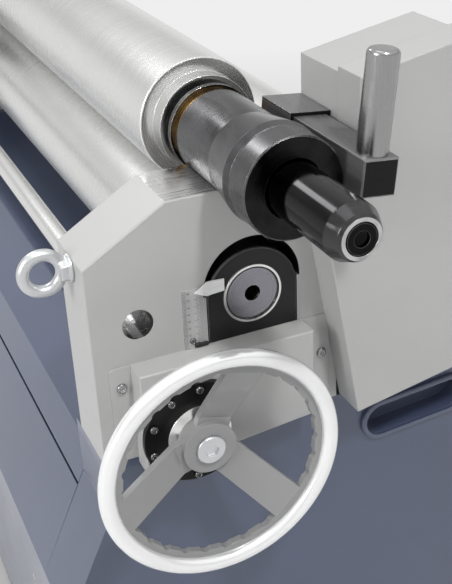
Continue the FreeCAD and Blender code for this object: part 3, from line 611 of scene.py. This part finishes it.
drive_low, drive_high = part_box("drive_housing")
drive_middle = (Vector(drive_low) + Vector(drive_high)) / 2
drive_cover = (0.30, 0.24, 1.0)
drive_cover_drop = 0.03
dress(covered("drive_housing_paint", paint_grey, drive_cover, ("X", -1.0), ("Y", drive_middle.y),
              0.0, drive_middle.z - drive_cover_drop, **grey_finish), "drive_housing")
print("drive housing's middle", [round(value, 3) for value in drive_middle])

# %% [markdown]
# The rolls run along X, and the middle of a roll's box is a point of its axis. The hole, the
# cradle and the slot of the cheeks are measured from these axes.

# %% Axes of the rolls and measures of the cheeks


def axis_of(name):
    low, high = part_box(name)
    return (Vector(low) + Vector(high)) / 2


top_axis = axis_of("top_roll")
lower_axis = axis_of("lower_roll")
rear_axis = axis_of("rear_roll")
cheek_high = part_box("cheek_right")[1]
milled_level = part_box("bar_guide")[0][2]
level_play = 0.002
spare_hole = lower_axis + Vector((0.0, -0.158, -0.004))
spare_hole_reach = 0.0215
cradle_reach = 0.0585
slot_reach = 0.0705
slot_low = 0.195
slot_high = 0.083
print("roll axes", [round(value, 4) for value in (*top_axis, *lower_axis)])

# %% [markdown]
# The cheeks are castings that are painted all over except where they are machined: the milled top
# of the right one, the plain hole and the cradle of the sleeve. The wall of the plain hole is bare
# metal in a darker grey, painted shade in the hole, and the slot of the lower bearing block is
# painted black, the shade deep inside it. All these are masks in one material, made from the place
# and the face's direction, so each ends in a crisp line at an edge of the casting.

# %% Cheeks: paint, bare metal and painted shade in the hole and slot


def within(tree, value, low, high):
    return multiply(tree, is_above(tree, value, low), is_below(tree, value, high))


def make_cheek_paint():
    made, tree, shader = open_material("cheek_paint_and_bare_metal", coat=0.12)
    paint = use_group(tree, powder_coat, Colour=paint_grey, Tone=0.06, Gloss=0.42)
    mill = use_group(tree, brush_marks, Colour=(0.74, 0.74, 0.73), Stretch=(500.0, 26.0, 26.0),
                     Contrast=0.8, Gloss=0.28)
    edges = rubbed(tree, paint_edge_band, grey_finish["wear_and_highlight"], paint_patchiness)
    place = parts_of(tree, own_place(tree))
    hole = use_group(tree, face_zones, Axis_Point=spare_hole)
    cradle = use_group(tree, face_zones, Axis_Point=top_axis)
    level = within(tree, place["Z"], milled_level - level_play, milled_level + level_play)
    bare = multiply(tree, level, hole["Up"])
    for zone, reach in ((hole, spare_hole_reach), (cradle, cradle_reach)):
        inside = is_below(tree, zone["Distance"], reach)
        inside = multiply(tree, inside, zone["Wall"])
        bare = maximum(tree, bare, inside)
    across = within(tree, place["Y"], lower_axis.y - slot_reach, lower_axis.y + slot_reach)
    upwards = within(tree, place["Z"], lower_axis.z - slot_low, lower_axis.z + slot_high)
    # Painted shade: the slot of the bearing block is coloured nearly black.
    slot = multiply(tree, across, upwards, hole["Wall"])
    # Painted shade: the wall of the plain hole is bare metal in a darker grey.
    bore = multiply(tree, bare, hole["Wall"])
    bore = subtract(tree, bore, multiply(tree, bore, hole["Up"]))
    colour = blend_colours(tree, edges["Mask"], paint["Colour"], (0.66, 0.66, 0.65))
    colour = blend_colours(tree, bare, colour, mill["Colour"])
    colour = blend_colours(tree, bore, colour, grey(0.24))
    colour = blend_colours(tree, slot, colour, grey(0.008))
    change = subtract(tree, mill["Roughness"], paint["Roughness"])
    change = multiply(tree, change, bare)
    rough = add(tree, change, paint["Roughness"])
    join_surface(tree, shader, colour, rough, paint["Height"], edges["Normal"], paint_relief)
    tree.links.new(bare, shader.inputs["Metallic"])
    return made


dress(make_cheek_paint(), "cheek_right", "cheek_left")
print("milled level", round(milled_level, 4))

# %% [markdown]
# The rolls and bars are ground and polished steel, so their lines run round them and are very
# fine. The marks of a lathe pull every reflection out along the axis, so turned pieces get an
# anisotropic shine whose tangent runs round X, the axis of them all.

# %% Turned finish, and the bars
roll_steel = (0.77, 0.77, 0.76)
turned_edge = (0.80, 0.80, 0.79)
turned_stretch = 0.75
turned_depth = 0.00002
turned_edge_band = 0.0009
turned_wear_and_highlight = 0.7
turned_patchiness = 0.2
ground_gloss = 0.28
ground_contrast = 0.14
ground_mottle = 0.03


def open_turned(name, axis_point):
    made, tree, shader = open_material(name, metallic=1.0)
    around = add_node(tree, "Tangent", {"direction_type": "RADIAL", "axis": "X"})
    feed(tree, shader.inputs["Anisotropic"], turned_stretch)
    feed(tree, shader.inputs["Tangent"], around.outputs["Tangent"])
    return made, tree, shader, use_group(tree, face_zones, Axis_Point=axis_point)


def turned(name, colour, axis_point, gloss, contrast=0.3, mottle=0.2, wear_and_highlight=turned_wear_and_highlight,
           end_colour=None, dark_within=0.0):
    made, tree, shader, zones = open_turned(name, axis_point)
    if end_colour:
        colour = blend_colours(tree, zones["End"], colour, end_colour)
    if dark_within:
        inside = is_below(tree, zones["Distance"], dark_within)
        colour = blend_colours(tree, inside, colour, grey(0.02))
    effect = use_group(tree, lathe_marks, Colour=colour, Axis_Point=axis_point, Contrast=contrast,
                       Mottle=mottle, Gloss=gloss)
    join_effect(tree, shader, effect, rubbed(tree, turned_edge_band, wear_and_highlight, turned_patchiness),
                turned_edge, turned_depth)
    return made


for bar, side in (("tie_bar_front", "front"), ("tie_bar_rear", "rear")):
    dress(turned(side + "_bar_steel", roll_steel, axis_of(bar), 0.25, 0.12, ground_mottle), bar)
dress(turned("shaft_steel", roll_steel, axis_of("cross_shaft"), 0.25), "cross_shaft")
# Painted shade: the rear roll's end face is a darker grey than its outside.
dress(turned("rear_roll_steel", roll_steel, rear_axis, ground_gloss, ground_contrast,
             ground_mottle, end_colour=(0.32, 0.315, 0.33)), "rear_roll")
print("bars, shaft and rear roll dressed")

# %% [markdown]
# The lower roll's end face is painted a much darker, bluish grey than its outside, as painted
# shade, and its centre hole is threaded and painted nearly black inside, the shade in the hole. The
# thread is a bump that repeats along the axis, inside the hole alone.

# %% Lower roll
hole_reach = 0.0112
thread_pitch = 0.002
thread_height = 60.0


def make_lower_roll_steel():
    made, tree, shader, zones = open_turned("lower_roll_steel", lower_axis)
    hole = is_below(tree, zones["Distance"], hole_reach)
    face = maximum(tree, zones["End"], hole)
    # Painted shade: a darker bluish end face and a nearly black threaded hole.
    colour = blend_colours(tree, face, roll_steel, (0.27, 0.265, 0.295))
    colour = blend_colours(tree, hole, colour, (0.06, 0.06, 0.062))
    effect = use_group(tree, lathe_marks, Colour=colour, Axis_Point=lower_axis,
                       Contrast=ground_contrast, Mottle=ground_mottle, Gloss=ground_gloss)
    edges = rubbed(tree, turned_edge_band, turned_wear_and_highlight, turned_patchiness)
    along = parts_of(tree, own_place(tree))["X"]
    turn = fraction(tree, divide(tree, along, thread_pitch))
    turn = pingpong(tree, turn, 0.5)
    thread = multiply(tree, turn, hole, thread_height)
    height = add(tree, effect["Height"], thread)
    colour = blend_colours(tree, edges["Mask"], effect["Colour"], turned_edge)
    join_surface(tree, shader, colour, effect["Roughness"], height, edges["Normal"], turned_depth)
    return made


dress(make_lower_roll_steel(), "lower_roll")
print("thread pitch", 1000 * thread_pitch, "mm")

# %% [markdown]
# The top roll is ground bright between the cheeks, while its nose beyond the sleeve is burnished
# and oiled, nearly black with bright reflections, and its cone and its end are worn brighter by the
# sheets that are slid off over them. The recess seen through the plug is painted nearly black as
# painted shade, and the pale grey of the edges paints a highlight on them together with wear.

# %% Top roll
cheek_outer = cheek_high[0]
nose_steel = (0.021, 0.021, 0.022)
cone_steel = (0.062, 0.062, 0.064)
nose_mottle = 0.55
nose_gloss = 0.14
nose_cone_at = 0.2425
recess_radius = 0.0194


def make_top_roll_steel():
    made, tree, shader, zones = open_turned("top_roll_steel", top_axis)
    along = parts_of(tree, own_place(tree))["X"]
    nose = is_above(tree, along, cheek_outer)
    cone = is_above(tree, along, cheek_outer + nose_cone_at)
    tip = multiply(tree, zones["End"], cone)
    # Painted shade: the recess in the end, seen through the plug, is coloured nearly black.
    painted_recess_shade = is_below(tree, zones["Distance"], recess_radius)
    painted_recess_shade = multiply(tree, painted_recess_shade, tip)
    colour = roll_steel
    for mask, shade in ((nose, nose_steel), (cone, cone_steel), (tip, grey(0.50)),
                        (painted_recess_shade, grey(0.012))):
        colour = blend_colours(tree, mask, colour, shade)
    mottle = add(tree, multiply(tree, nose, nose_mottle), ground_mottle)
    gloss = spread(tree, nose, 0.0, 1.0, ground_gloss, nose_gloss)
    effect = use_group(tree, lathe_marks, Colour=colour, Axis_Point=top_axis, Pitch=700.0,
                       Contrast=0.16, Mottle=mottle, Gloss=gloss)
    # Painted highlight together with wear: the edges are a pale grey.
    join_effect(tree, shader, effect, rubbed(tree, 0.0014, 0.9, 0.15), grey(0.72), turned_depth)
    return made


dress(make_top_roll_steel(), "top_roll")
print("outer face at", round(cheek_outer, 4))

# %% [markdown]
# The sleeve is turned from a dark steel too. The end face of its end ring is painted nearly black,
# darker than its outside, as painted shade, and the pale edges paint a highlight together with
# their rubbing to bare metal. Its bush is bronze, and a ball in a cup lets the roll tilt.

# %% Sleeve, rings and what carries the top roll
dress(turned("sleeve_steel", (0.098, 0.098, 0.102), top_axis, 0.26, contrast=0.6, mottle=0.6),
      "top_sleeve", "thrust_ring")
# Painted shade: the end ring's end face is coloured nearly black.
dress(turned("end_ring_steel", (0.10, 0.10, 0.103), top_axis, 0.28, contrast=0.4, mottle=0.5,
             end_colour=(0.020, 0.020, 0.021)), "sleeve_end_ring")
dress(turned("bearing_bronze", (0.72, 0.42, 0.13), top_axis, 0.24, contrast=0.3), "bronze_bush")
dress(turned("swivel_steel", grey(0.2), top_axis, 0.32), "swivel_ball", "swivel_cup")
dress(turned("nose_plug_black", (0.012, 0.012, 0.013), top_axis, 0.35, contrast=0.4, wear_and_highlight=0.3),
      "nose_plug")
print("sleeve, rings, bush and swivel dressed")

# %% [markdown]
# The locking bar is milled along its length. Its end face has level marks from the saw and is
# painted nearly black as painted shade, darker than the sides, and its chamfer is painted pale, a
# highlight together with wear. The lifting screws and the pin of the bar only need plain lines, so
# one function makes their finish.

# %% Milled and brushed steel
brushed_depth = 0.00002


def brushed(name, colour, stretch, gloss, wear_and_highlight=0.4, edge_width=0.0008, metallic=1.0):
    made, tree, shader = open_material(name, metallic)
    effect = use_group(tree, brush_marks, Colour=colour, Stretch=stretch, Contrast=0.3, Gloss=gloss)
    join_effect(tree, shader, effect, rubbed(tree, edge_width, wear_and_highlight, 0.3), (0.75, 0.75, 0.74),
                brushed_depth)
    return made


def make_bar_steel():
    made, tree, shader = open_material("bar_steel", metallic=0.45)
    feed(tree, shader.inputs["Specular IOR Level"], 0.25)
    zones = use_group(tree, face_zones, Axis_Point=axis_of("locking_bar"))
    # Painted shade: the end face is coloured nearly black, the sides a dark grey.
    colour = blend_colours(tree, zones["End"], (0.19, 0.19, 0.193), (0.010, 0.010, 0.011))
    effect = use_group(tree, brush_marks, Colour=colour, Stretch=(3.0, 16.0, 520.0), Contrast=0.8,
                       Gloss=0.32)
    join_effect(tree, shader, effect, rubbed(tree, 0.0013, 0.75, 0.3), grey(0.55), brushed_depth)
    return made


dress(make_bar_steel(), "locking_bar", "bar_guide")
dress(brushed("screw_steel", grey(0.35), (500.0, 500.0, 500.0), 0.35), "lift_screws",
      "rear_lift_screws")
dress(brushed("pin_steel", grey(0.34), (300.0, 300.0, 8.0), 0.22), "bar_handle")
print("bar, pin and lifting screws dressed")

# %% [markdown]
# The bearing blocks are blacked and oiled, and so is the flange behind the handwheel. Blacking is a
# thin coat that wears off at the edges, so it uses the coated finish with more metal in it. The
# pale grey on the blocks' edges paints a highlight on them together with that wear.

# %% Blackened steel


def blackened(name, colour, edge_grey, wear_and_highlight):
    return coated(name, colour, 0.40, tone=0.5, wear_and_highlight=wear_and_highlight, edge_colour=grey(edge_grey),
                  edge_width=0.0017, patchiness=0.25, metallic=0.6, depth=0.00004)


# Painted highlight together with wear: the blocks' edges are a pale grey.
dress(blackened("blackened_block", (0.022, 0.022, 0.023), 0.66, 0.85), "bearing_block_right",
      "bearing_block_left", "rear_block_right", "rear_block_left", "jack_gearbox_right",
      "jack_gearbox_left")
dress(blackened("blackened_flange", grey(0.010), 0.12, 0.5), "bearing_flange")
print("blackened pieces dressed")

# %% [markdown]
# The bush round the journal and the boss are turned bright, while the fasteners and the lifting
# eyes are zinc plated. Near its bore the bush is painted nearly black, as painted shade in the gap
# round the journal. Old screw heads look darker than new plating, and their bright rim paints a
# highlight together with the rubbing of a key, so each size of fastener has its own grey.

# %% Bright turned pieces and plated fasteners
bright = (0.84, 0.84, 0.83)
# Painted shade: inside 38 mm the bush is coloured nearly black.
dress(turned("bush_steel", bright, lower_axis, 0.22, dark_within=0.0380), "lower_bushes")
dress(turned("rear_bush_steel", bright, rear_axis, 0.22), "rear_bushes")
dress(turned("boss_steel", bright, axis_of("bearing_boss"), 0.20), "bearing_boss")
zinc = coated("zinc_plate", (0.62, 0.63, 0.64), 0.32, tone=0.35, wear_and_highlight=0.4, edge_colour=grey(0.86),
              edge_width=0.0006, patchiness=0.3, metallic=1.0, depth=0.00008)
dress(zinc, "hub_cap", "levelling_feet", "button_collars")


def plated(name, colour, edge_width, wear_and_highlight):
    return coated(name, colour, 0.26, tone=0.5, wear_and_highlight=wear_and_highlight, edge_colour=grey(0.95),
                  edge_width=edge_width, patchiness=0.1, metallic=1.0, depth=0.00005)


# Painted highlight together with wear: the bright rims of the screw heads.
dress(plated("screw_zinc", (0.38, 0.38, 0.39), 0.0014, 1.0), "hood_screws")
dress(plated("small_screw_zinc", (0.20, 0.20, 0.21), 0.0008, 1.0), "scale_screw")
dress(plated("bolt_zinc", (0.16, 0.16, 0.165), 0.0008, 0.7), "flange_bolts")
print("plated", zinc.name)

# %% [markdown]
# The handwheel is a grey casting whose rim carries a chromed tube. Chrome is nearly a mirror, with
# a haze from handling, and the casting is smooth and lightly lacquered. The chrome is only partly
# metallic, so its near-white colour also shows as a diffuse white, a painted reflection of the
# bright room all round the rim.

# %% Handwheel
# Painted reflection: the near-white chrome is only partly metallic.
chrome = coated("rim_chrome", (0.93, 0.93, 0.935), 0.2, tone=0.06, coat=0.3, wear_and_highlight=0.0,
                edge_colour=grey(0.9), edge_width=0.0004, patchiness=0.0, metallic=0.6,
                depth=0.000005)
cast_grey = coated("cast_grey", (0.28, 0.28, 0.282), 0.34, tone=0.12, coat=0.35, wear_and_highlight=0.6,
                   edge_colour=grey(0.46))
dress(chrome, "handwheel_rim")
dress(cast_grey, "handwheel_web")
print("handwheel", chrome.name, cast_grey.name)

# %% [markdown]
# The base cabinet is painted a dark greyish blue, under a clear gloss that goes pale where it is
# seen at a low angle. The deck under the rolls is duller, as what lies there has rubbed it. The
# motor and its gearbox stand inside the drive housing and are painted dark grey.

# %% Blue cabinet and drive
cabinet_blue = (0.068, 0.086, 0.148)
blue_edge = (0.25, 0.28, 0.36)
blue_finish = {"gloss": 0.34, "tone": 0.14, "coat": 0.6, "wear_and_highlight": 0.5}
blue_paint = coated("cabinet_blue", cabinet_blue, edge_colour=blue_edge, **blue_finish)
deck_paint = coated("deck_blue", cabinet_blue, 0.5, tone=0.14, coat=0.08, wear_and_highlight=0.5,
                    edge_colour=blue_edge)
dress(blue_paint, "pedestal_right", "grip_lip", "front_panel_upper")
dress(deck_paint, "deck")
dress(coated("motor_paint", (0.10, 0.105, 0.11), 0.45), "drive_gearbox", "drive_motor")
print("cabinet", blue_paint.name)

# %% [markdown]
# The back, the front and the drive end of the base have covers. The back and the front have two
# each, side by side, which the fold about the middle of the panel makes from one.

# %% Covers of the cabinet
panel_low, panel_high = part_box("rear_panel")
panel_middle = (panel_low[0] + panel_high[0]) / 2
panel_quarter = (panel_high[0] - panel_low[0]) / 4
base_level = (panel_low[2] + panel_high[2]) / 2
front_level = 0.25
end_drop = 0.05
cover_faces = {
    "rear_panel": ((0.50, 0.40, 0.0), ("Y", 1.0), ("X", panel_middle), panel_quarter, base_level),
    "front_panel_lower": ((0.50, 0.22, 0.0), ("Y", -1.0), ("X", panel_middle), panel_quarter,
                          front_level),
    "pedestal_left": ((0.42, 0.36, 1.0), ("X", -1.0), ("Y", axis_of("pedestal_left").y), 0.0,
                      base_level - end_drop),
}
for node, face in cover_faces.items():
    dress(covered(node + "_blue", cabinet_blue, *face, **blue_finish), node)
print("covers on", list(cover_faces))

# %% [markdown]
# The pointer is brushed aluminium. The scale is a satin steel strip with engraved marks along
# both edges, a short one for each two millimetres and a longer one for each centimetre. The
# marks are worked out in the shader from the height above the strip's foot, so they stay sharp
# at any distance.

# %% Scale and pointer
dress(brushed("pointer_aluminium", grey(0.92), (600.0, 10.0, 600.0), 0.45, wear_and_highlight=0.1,
              edge_width=0.0003, metallic=0.25), "pointer")
scale_low, scale_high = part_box("scale_plate")
mark_strength = 0.75
short_step = 0.002
long_step = 0.010


def mark_lines(tree, across, up, step, width, reach):
    share = fraction(tree, divide(tree, up, step))
    line = is_below(tree, share, width / step)
    left = is_below(tree, across, scale_low[1] + reach)
    right = is_above(tree, across, scale_high[1] - reach)
    return multiply(tree, line, maximum(tree, left, right))


def make_scale_steel():
    made, tree, shader = open_material("scale_steel", metallic=0.8)
    effect = use_group(tree, brush_marks, Colour=grey(0.66), Stretch=(500.0, 700.0, 12.0),
                       Contrast=0.25, Gloss=0.36)
    edges = rubbed(tree, 0.0004, 0.4, 0.1)
    place = parts_of(tree, own_place(tree))
    up = subtract(tree, place["Z"], scale_low[2])
    short = mark_lines(tree, place["Y"], up, short_step, 0.0005, 0.0045)
    long = mark_lines(tree, place["Y"], up, long_step, 0.0006, 0.0075)
    marks = multiply(tree, maximum(tree, short, long), mark_strength)
    colour = blend_colours(tree, marks, effect["Colour"], grey(0.03))
    join_surface(tree, shader, colour, effect["Roughness"], effect["Height"], edges["Normal"],
                 0.00001)
    return made


dress(make_scale_steel(), "scale_plate")
print("scale is", round((scale_high[2] - scale_low[2]) * 1000), "mm long")

# %% [markdown]
# The control buttons are moulded plastic, glossy with a slight haze.

# %% Buttons
button_colours = {"button_forward": (0.02, 0.26, 0.06), "button_reverse": (0.02, 0.02, 0.02),
                  "stop_button": (0.52, 0.015, 0.012)}
for button, colour in button_colours.items():
    dress(coated(button + "_plastic", colour, 0.26, tone=0.05, coat=0.3, wear_and_highlight=0.1), button)
print("buttons", list(button_colours))

# %% [markdown]
# Some small pieces are left to this file. They are built point by point: a turned or sided form
# is a stack of rings of points, each with its height and radius, which are then joined by faces.
# The same function makes a hexagon, a disc and a screw head.

# %% Helpers for pieces


def bridge(form, low, high, closed=True):
    faces = []
    for step in range(len(low) if closed else len(low) - 1):
        after = (step + 1) % len(low)
        faces.append(form.faces.new((low[step], low[after], high[after], high[step])))
    return faces


def add_stack(form, base, outward, across, profile, sides, phase=0.0):
    other = outward.cross(across)
    rings = []
    for height, radius in profile:
        ring = []
        for step in range(sides):
            angle = phase + 2 * math.pi * step / sides
            arm = across * math.cos(angle) + other * math.sin(angle)
            ring.append(form.verts.new(base + outward * height + arm * radius))
        rings.append(ring)
    for low, high in zip(rings, rings[1:]):
        bridge(form, low, high)
    form.faces.new(list(reversed(rings[0])))
    form.faces.new(rings[-1])


def mesh_from(name, form):
    mesh = bpy.data.meshes.new(name)
    form.to_mesh(mesh)
    form.free()
    return mesh


def finish_piece(name, form, slot, *materials):
    mesh = mesh_from(name, form)
    for material in materials:
        mesh.materials.append(material)
    piece = new_object(name, mesh)
    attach(piece, "frame")
    return piece


def evaluated_mesh(draft):
    view = bpy.context.evaluated_depsgraph_get()
    mesh = bpy.data.meshes.new_from_object(draft.evaluated_get(view))
    bpy.data.objects.remove(draft)
    return mesh


along_x = Vector((1.0, 0.0, 0.0))
print("piece helpers ready")

# %% [markdown]
# The lifting eyes are drop forged: a round ring flows into a hexagon on a round foot. One eye is
# made upright from three simple forms, and its mesh is copied to the four places later. The ring
# is a circle of small circles.

# %% Lifting eye: foot, hexagon and ring
eye_front_low, eye_front_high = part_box("eye_bolts_front")
eye_rear_low, eye_rear_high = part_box("eye_bolts_rear")
eye_outer = (eye_front_high[2] - eye_front_low[2]) / 2
eye_wire = 0.008
eye_stand_off = 0.0355
eye_foot_profile = ((0.0, 0.0186), (0.0006, 0.0190), (0.0034, 0.0190), (0.0040, 0.0184))
eye_hex_profile = ((0.0030, 0.0170), (0.0050, 0.0180), (0.0148, 0.0180), (0.0160, 0.0168))
eye_up = Vector((0.0, 0.0, 1.0))
ring_steps = 72
wire_steps = 28


def add_wire_ring(form, centre, radius, wire):
    rows = []
    for step in range(ring_steps):
        turn = 2 * math.pi * step / ring_steps
        out = Vector((0.0, math.cos(turn), math.sin(turn)))
        row = []
        for part in range(wire_steps):
            roll = 2 * math.pi * part / wire_steps
            arm = out * (radius + wire * math.cos(roll))
            side = along_x * (wire * math.sin(roll))
            row.append(form.verts.new(centre + arm + side))
        rows.append(row)
    for step, row in enumerate(rows):
        bridge(form, row, rows[(step + 1) % ring_steps])


eye_form = bmesh.new()
add_stack(eye_form, Vector(), eye_up, along_x, eye_foot_profile, 40)
add_stack(eye_form, Vector(), eye_up, along_x, eye_hex_profile, 6, math.pi / 6)
add_wire_ring(eye_form, eye_up * eye_stand_off, eye_outer - eye_wire, eye_wire)
bmesh.ops.recalc_face_normals(eye_form, faces=eye_form.faces)
print("rough eye has", len(eye_form.faces), "faces")

# %% [markdown]
# Joining simple forms leaves hard creases between them. The Remesh modifier turns the joined
# forms into one skin of even faces, and the Smooth modifier rounds it, which is how forging
# looks.

# %% Lifting eye: forged skin
skin_fineness = 0.0009
eye_rough = new_object("eye_rough", mesh_from("eye_rough", eye_form))
remesh = eye_rough.modifiers.new("skin", "REMESH")
remesh.mode = "VOXEL"
remesh.voxel_size = skin_fineness
smooth = eye_rough.modifiers.new("forged", "SMOOTH")
smooth.factor = 0.5
smooth.iterations = 5
eye_skin = evaluated_mesh(eye_rough)
print("forged eye has", len(eye_skin.polygons), "faces")

# %% [markdown]
# The front eyes point straight at the operator, and the rear ones lean back with the rear
# housing. A rotation about X lays the upright eye down, and a shift takes it to its cheek.

# %% Lifting eyes in place
eye_lean = math.radians(10.0)
cheek_middle_step = 0.019


def place_eyes(name, node, foot_y, foot_z, lean, low, high):
    form = bmesh.new()
    for x in (low[0] + cheek_middle_step, high[0] - cheek_middle_step):
        start = len(form.verts)
        form.from_mesh(eye_skin)
        form.verts.ensure_lookup_table()
        stand = Matrix.Translation((x, foot_y, foot_z)) @ Matrix.Rotation(lean, 4, "X")
        bmesh.ops.transform(form, matrix=stand, verts=form.verts[start:])
    for face in form.faces:
        face.smooth = True
    piece = finish_piece(name, form, "zinc", zinc)
    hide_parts(node)


front_foot_y = eye_front_low[1] + eye_outer + eye_stand_off
front_foot_z = (eye_front_low[2] + eye_front_high[2]) / 2
rear_foot_y = eye_rear_high[1] - eye_outer - eye_stand_off * math.cos(eye_lean)
rear_foot_z = eye_rear_high[2] - eye_outer - eye_stand_off * math.sin(eye_lean)
place_eyes("forged_eyes_front", "eye_bolts_front", front_foot_y, front_foot_z, math.pi / 2,
           eye_front_low, eye_front_high)
place_eyes("forged_eyes_rear", "eye_bolts_rear", rear_foot_y, rear_foot_z,
           eye_lean - math.pi / 2, eye_rear_low, eye_rear_high)
print("eyes at", round(front_foot_y, 4), round(rear_foot_y, 4))

# %% [markdown]
# The drive housing is screwed down along its upright edges, with three screws to an edge. A
# screw head is a stack of rings too, and the last ring lies deeper than the rim, which makes
# the socket.

# %% Screws of the drive housing
screw_profile = ((0.0, 0.0065), (0.0010, 0.0065), (0.0026, 0.0054), (0.0034, 0.0036),
                 (0.0036, 0.0024), (0.0014, 0.0021))
screw_inset = 0.018
screw_sides = 20
bevel_drop = 0.07
screw_reach = drive_high[2] - drive_low[2] - bevel_drop - 2 * screw_inset
screw_form = bmesh.new()
for row in range(3):
    z = drive_low[2] + screw_inset + row * screw_reach / 2
    for x in (drive_low[0] + screw_inset, drive_high[0] - screw_inset):
        for y, outward in ((drive_high[1], 1.0), (drive_low[1], -1.0)):
            add_stack(screw_form, Vector((x, y, z)), Vector((0.0, outward, 0.0)), along_x,
                      screw_profile, screw_sides)
finish_piece("housing_screws", screw_form, "zinc", zinc)
print("screws reach over", round(screw_reach, 3), "m")

# %% [markdown]
# The housing's back has louvres that let the motor's heat out. A louvre is pressed out of the
# sheet: it rises steeply from the slot at its lower edge and runs out flat above it. A grid of
# points with that profile makes one, and the lip over the slot is a face of its own, painted black
# as painted shade where it looks into the housing.

# %% Louvres
louvre_profile = ((0.0, 0.0), (0.0, 0.0075), (0.0012, 0.0088), (0.004, 0.0090), (0.010, 0.0068),
                  (0.016, 0.0028), (0.020, 0.0))
louvre_length = 0.085
louvre_pitch = 0.030
louvre_steps = 14
louvre_rows = 6
louvre_spacing = 0.06


def add_louvre(form, middle, foot):
    grid = []
    for step in range(louvre_steps + 1):
        share = step / louvre_steps
        swell = min(1.0, 4.0 * share, 4.0 * (1.0 - share)) ** 0.5
        x = middle + (share - 0.5) * louvre_length
        grid.append([form.verts.new((x, drive_high[1] + rise * swell, foot + up))
                     for up, rise in louvre_profile])
    for first, second in zip(grid, grid[1:]):
        # Painted shade: the face over the slot gets the black material.
        bridge(form, first, second, closed=False)[0].material_index = 1


louvre_form = bmesh.new()
for column in (-1, 1):
    for row in range(louvre_rows):
        add_louvre(louvre_form, (drive_low[0] + drive_high[0]) / 2 + column * louvre_spacing,
                   (drive_low[2] + drive_high[2]) / 2 + row * louvre_pitch)
bmesh.ops.remove_doubles(louvre_form, verts=louvre_form.verts, dist=0.00001)
finish_piece("housing_louvres", louvre_form, "cheek_paint", grey_paint,
             coated("louvre_shade", grey(0.012), 0.6, tone=0.2, wear_and_highlight=0.0))
print("louvres", 2 * louvre_rows)

# %% [markdown]
# The scale carries plain numbers, one for each centimetre. Blender's text objects draw them, and
# they are turned into one thin mesh that stands on the scale's face.

# %% Numbers of the scale
number_ink = coated("number_ink", grey(0.09), 0.5, tone=0.2, wear_and_highlight=0.0)
number_size = 0.0046
number_share = 0.36
number_relief = 0.00004
number_lift = 0.00006
number_y = scale_low[1] + number_share * (scale_high[1] - scale_low[1])
upright = Matrix(((0.0, 0.0, 1.0, 0.0), (1.0, 0.0, 0.0, 0.0), (0.0, 1.0, 0.0, 0.0),
                  (0.0, 0.0, 0.0, 1.0)))


def drawn_number(number):
    letters = bpy.data.curves.new("number", "FONT")
    letters.body = str(number)
    letters.size = number_size
    letters.extrude = number_relief
    letters.align_x = "CENTER"
    letters.align_y = "CENTER"
    mesh = evaluated_mesh(new_object("number", letters))
    place = Matrix.Translation((scale_high[0] + number_lift, number_y,
                                scale_low[2] + long_step * number))
    mesh.transform(place @ upright)
    return mesh


number_form = bmesh.new()
for number in range(1, 9):
    number_form.from_mesh(drawn_number(number))
finish_piece("scale_numbers", number_form, "black_plastic", number_ink)
print("numbers 1 to 8 placed")

# %% [markdown]
# Beside the foot of the scale sits a small black shape, made from two rounded blocks.

# %% Black shape beside the scale
clip_middle = Vector((cheek_outer, scale_high[1] - 0.0005, scale_low[2] + 0.0035))
clip_blocks = (((0.0050, 0.0190, 0.0036), (0.0025, 0.0, 0.0)),
               ((0.0042, 0.0080, 0.0062), (0.0022, -0.0050, 0.0006)))
clip_round = 0.0006
clip_form = bmesh.new()
for size, offset in clip_blocks:
    block = bmesh.ops.create_cube(clip_form, size=1.0)["verts"]
    bmesh.ops.scale(clip_form, vec=size, verts=block)
    bmesh.ops.translate(clip_form, vec=clip_middle + Vector(offset), verts=block)
bmesh.ops.bevel(clip_form, geom=clip_form.edges[:], offset=clip_round, segments=2,
                affect="EDGES")
finish_piece("scale_clip", clip_form, "black_plastic",
             coated("clip_plastic", grey(0.012), 0.35, tone=0.1, wear_and_highlight=0.1))
print("clip placed")

# %% [markdown]
# The floor is a plain pale disc. It isn't part of the machine. Near the machine it takes light and
# shadow as any floor does. Further out the lamps would leave bright and dull patches on it, so
# there it turns into an even pale backdrop for the camera, for mirrors and for glass, with a
# strength of 1. How much it has turned grows with the distance.

# %% Floor
floor_radius = 30.0
floor_grey = 0.80
fade_start = 1.3
fade_end = 3.6
fade_grey = 0.86
floor_form = bmesh.new()
bmesh.ops.create_circle(floor_form, cap_ends=True, segments=64, radius=floor_radius)
floor = new_object("floor", mesh_from("floor", floor_form))
floor_material, floor_tree, floor_shader = open_material("pale_floor")
floor_effect = use_group(floor_tree, powder_coat, Colour=grey(floor_grey), Tone=0.02, Gloss=0.75)
feed(floor_tree, floor_shader.inputs["Base Color"], floor_effect["Colour"])
feed(floor_tree, floor_shader.inputs["Roughness"], floor_effect["Roughness"])
floor_far = vector_math(floor_tree, "LENGTH", own_place(floor_tree))
floor_far = spread(floor_tree, floor_far, fade_start, fade_end, 0.0, 1.0)
floor_share = multiply(floor_tree, floor_far, seen_directly(floor_tree))
floor_glow = add_node(floor_tree, "Emission", None, Color=grey(fade_grey), Strength=1.0)
floor_mix = add_node(floor_tree, "MixShader", None, _0=floor_share,
                     _1=floor_shader.outputs["BSDF"], _2=floor_glow.outputs["Emission"])
feed(floor_tree, floor_tree.nodes["Material Output"].inputs["Surface"],
     floor_mix.outputs["Shader"])
floor.data.materials.append(floor_material)
print("floor radius", floor_radius)
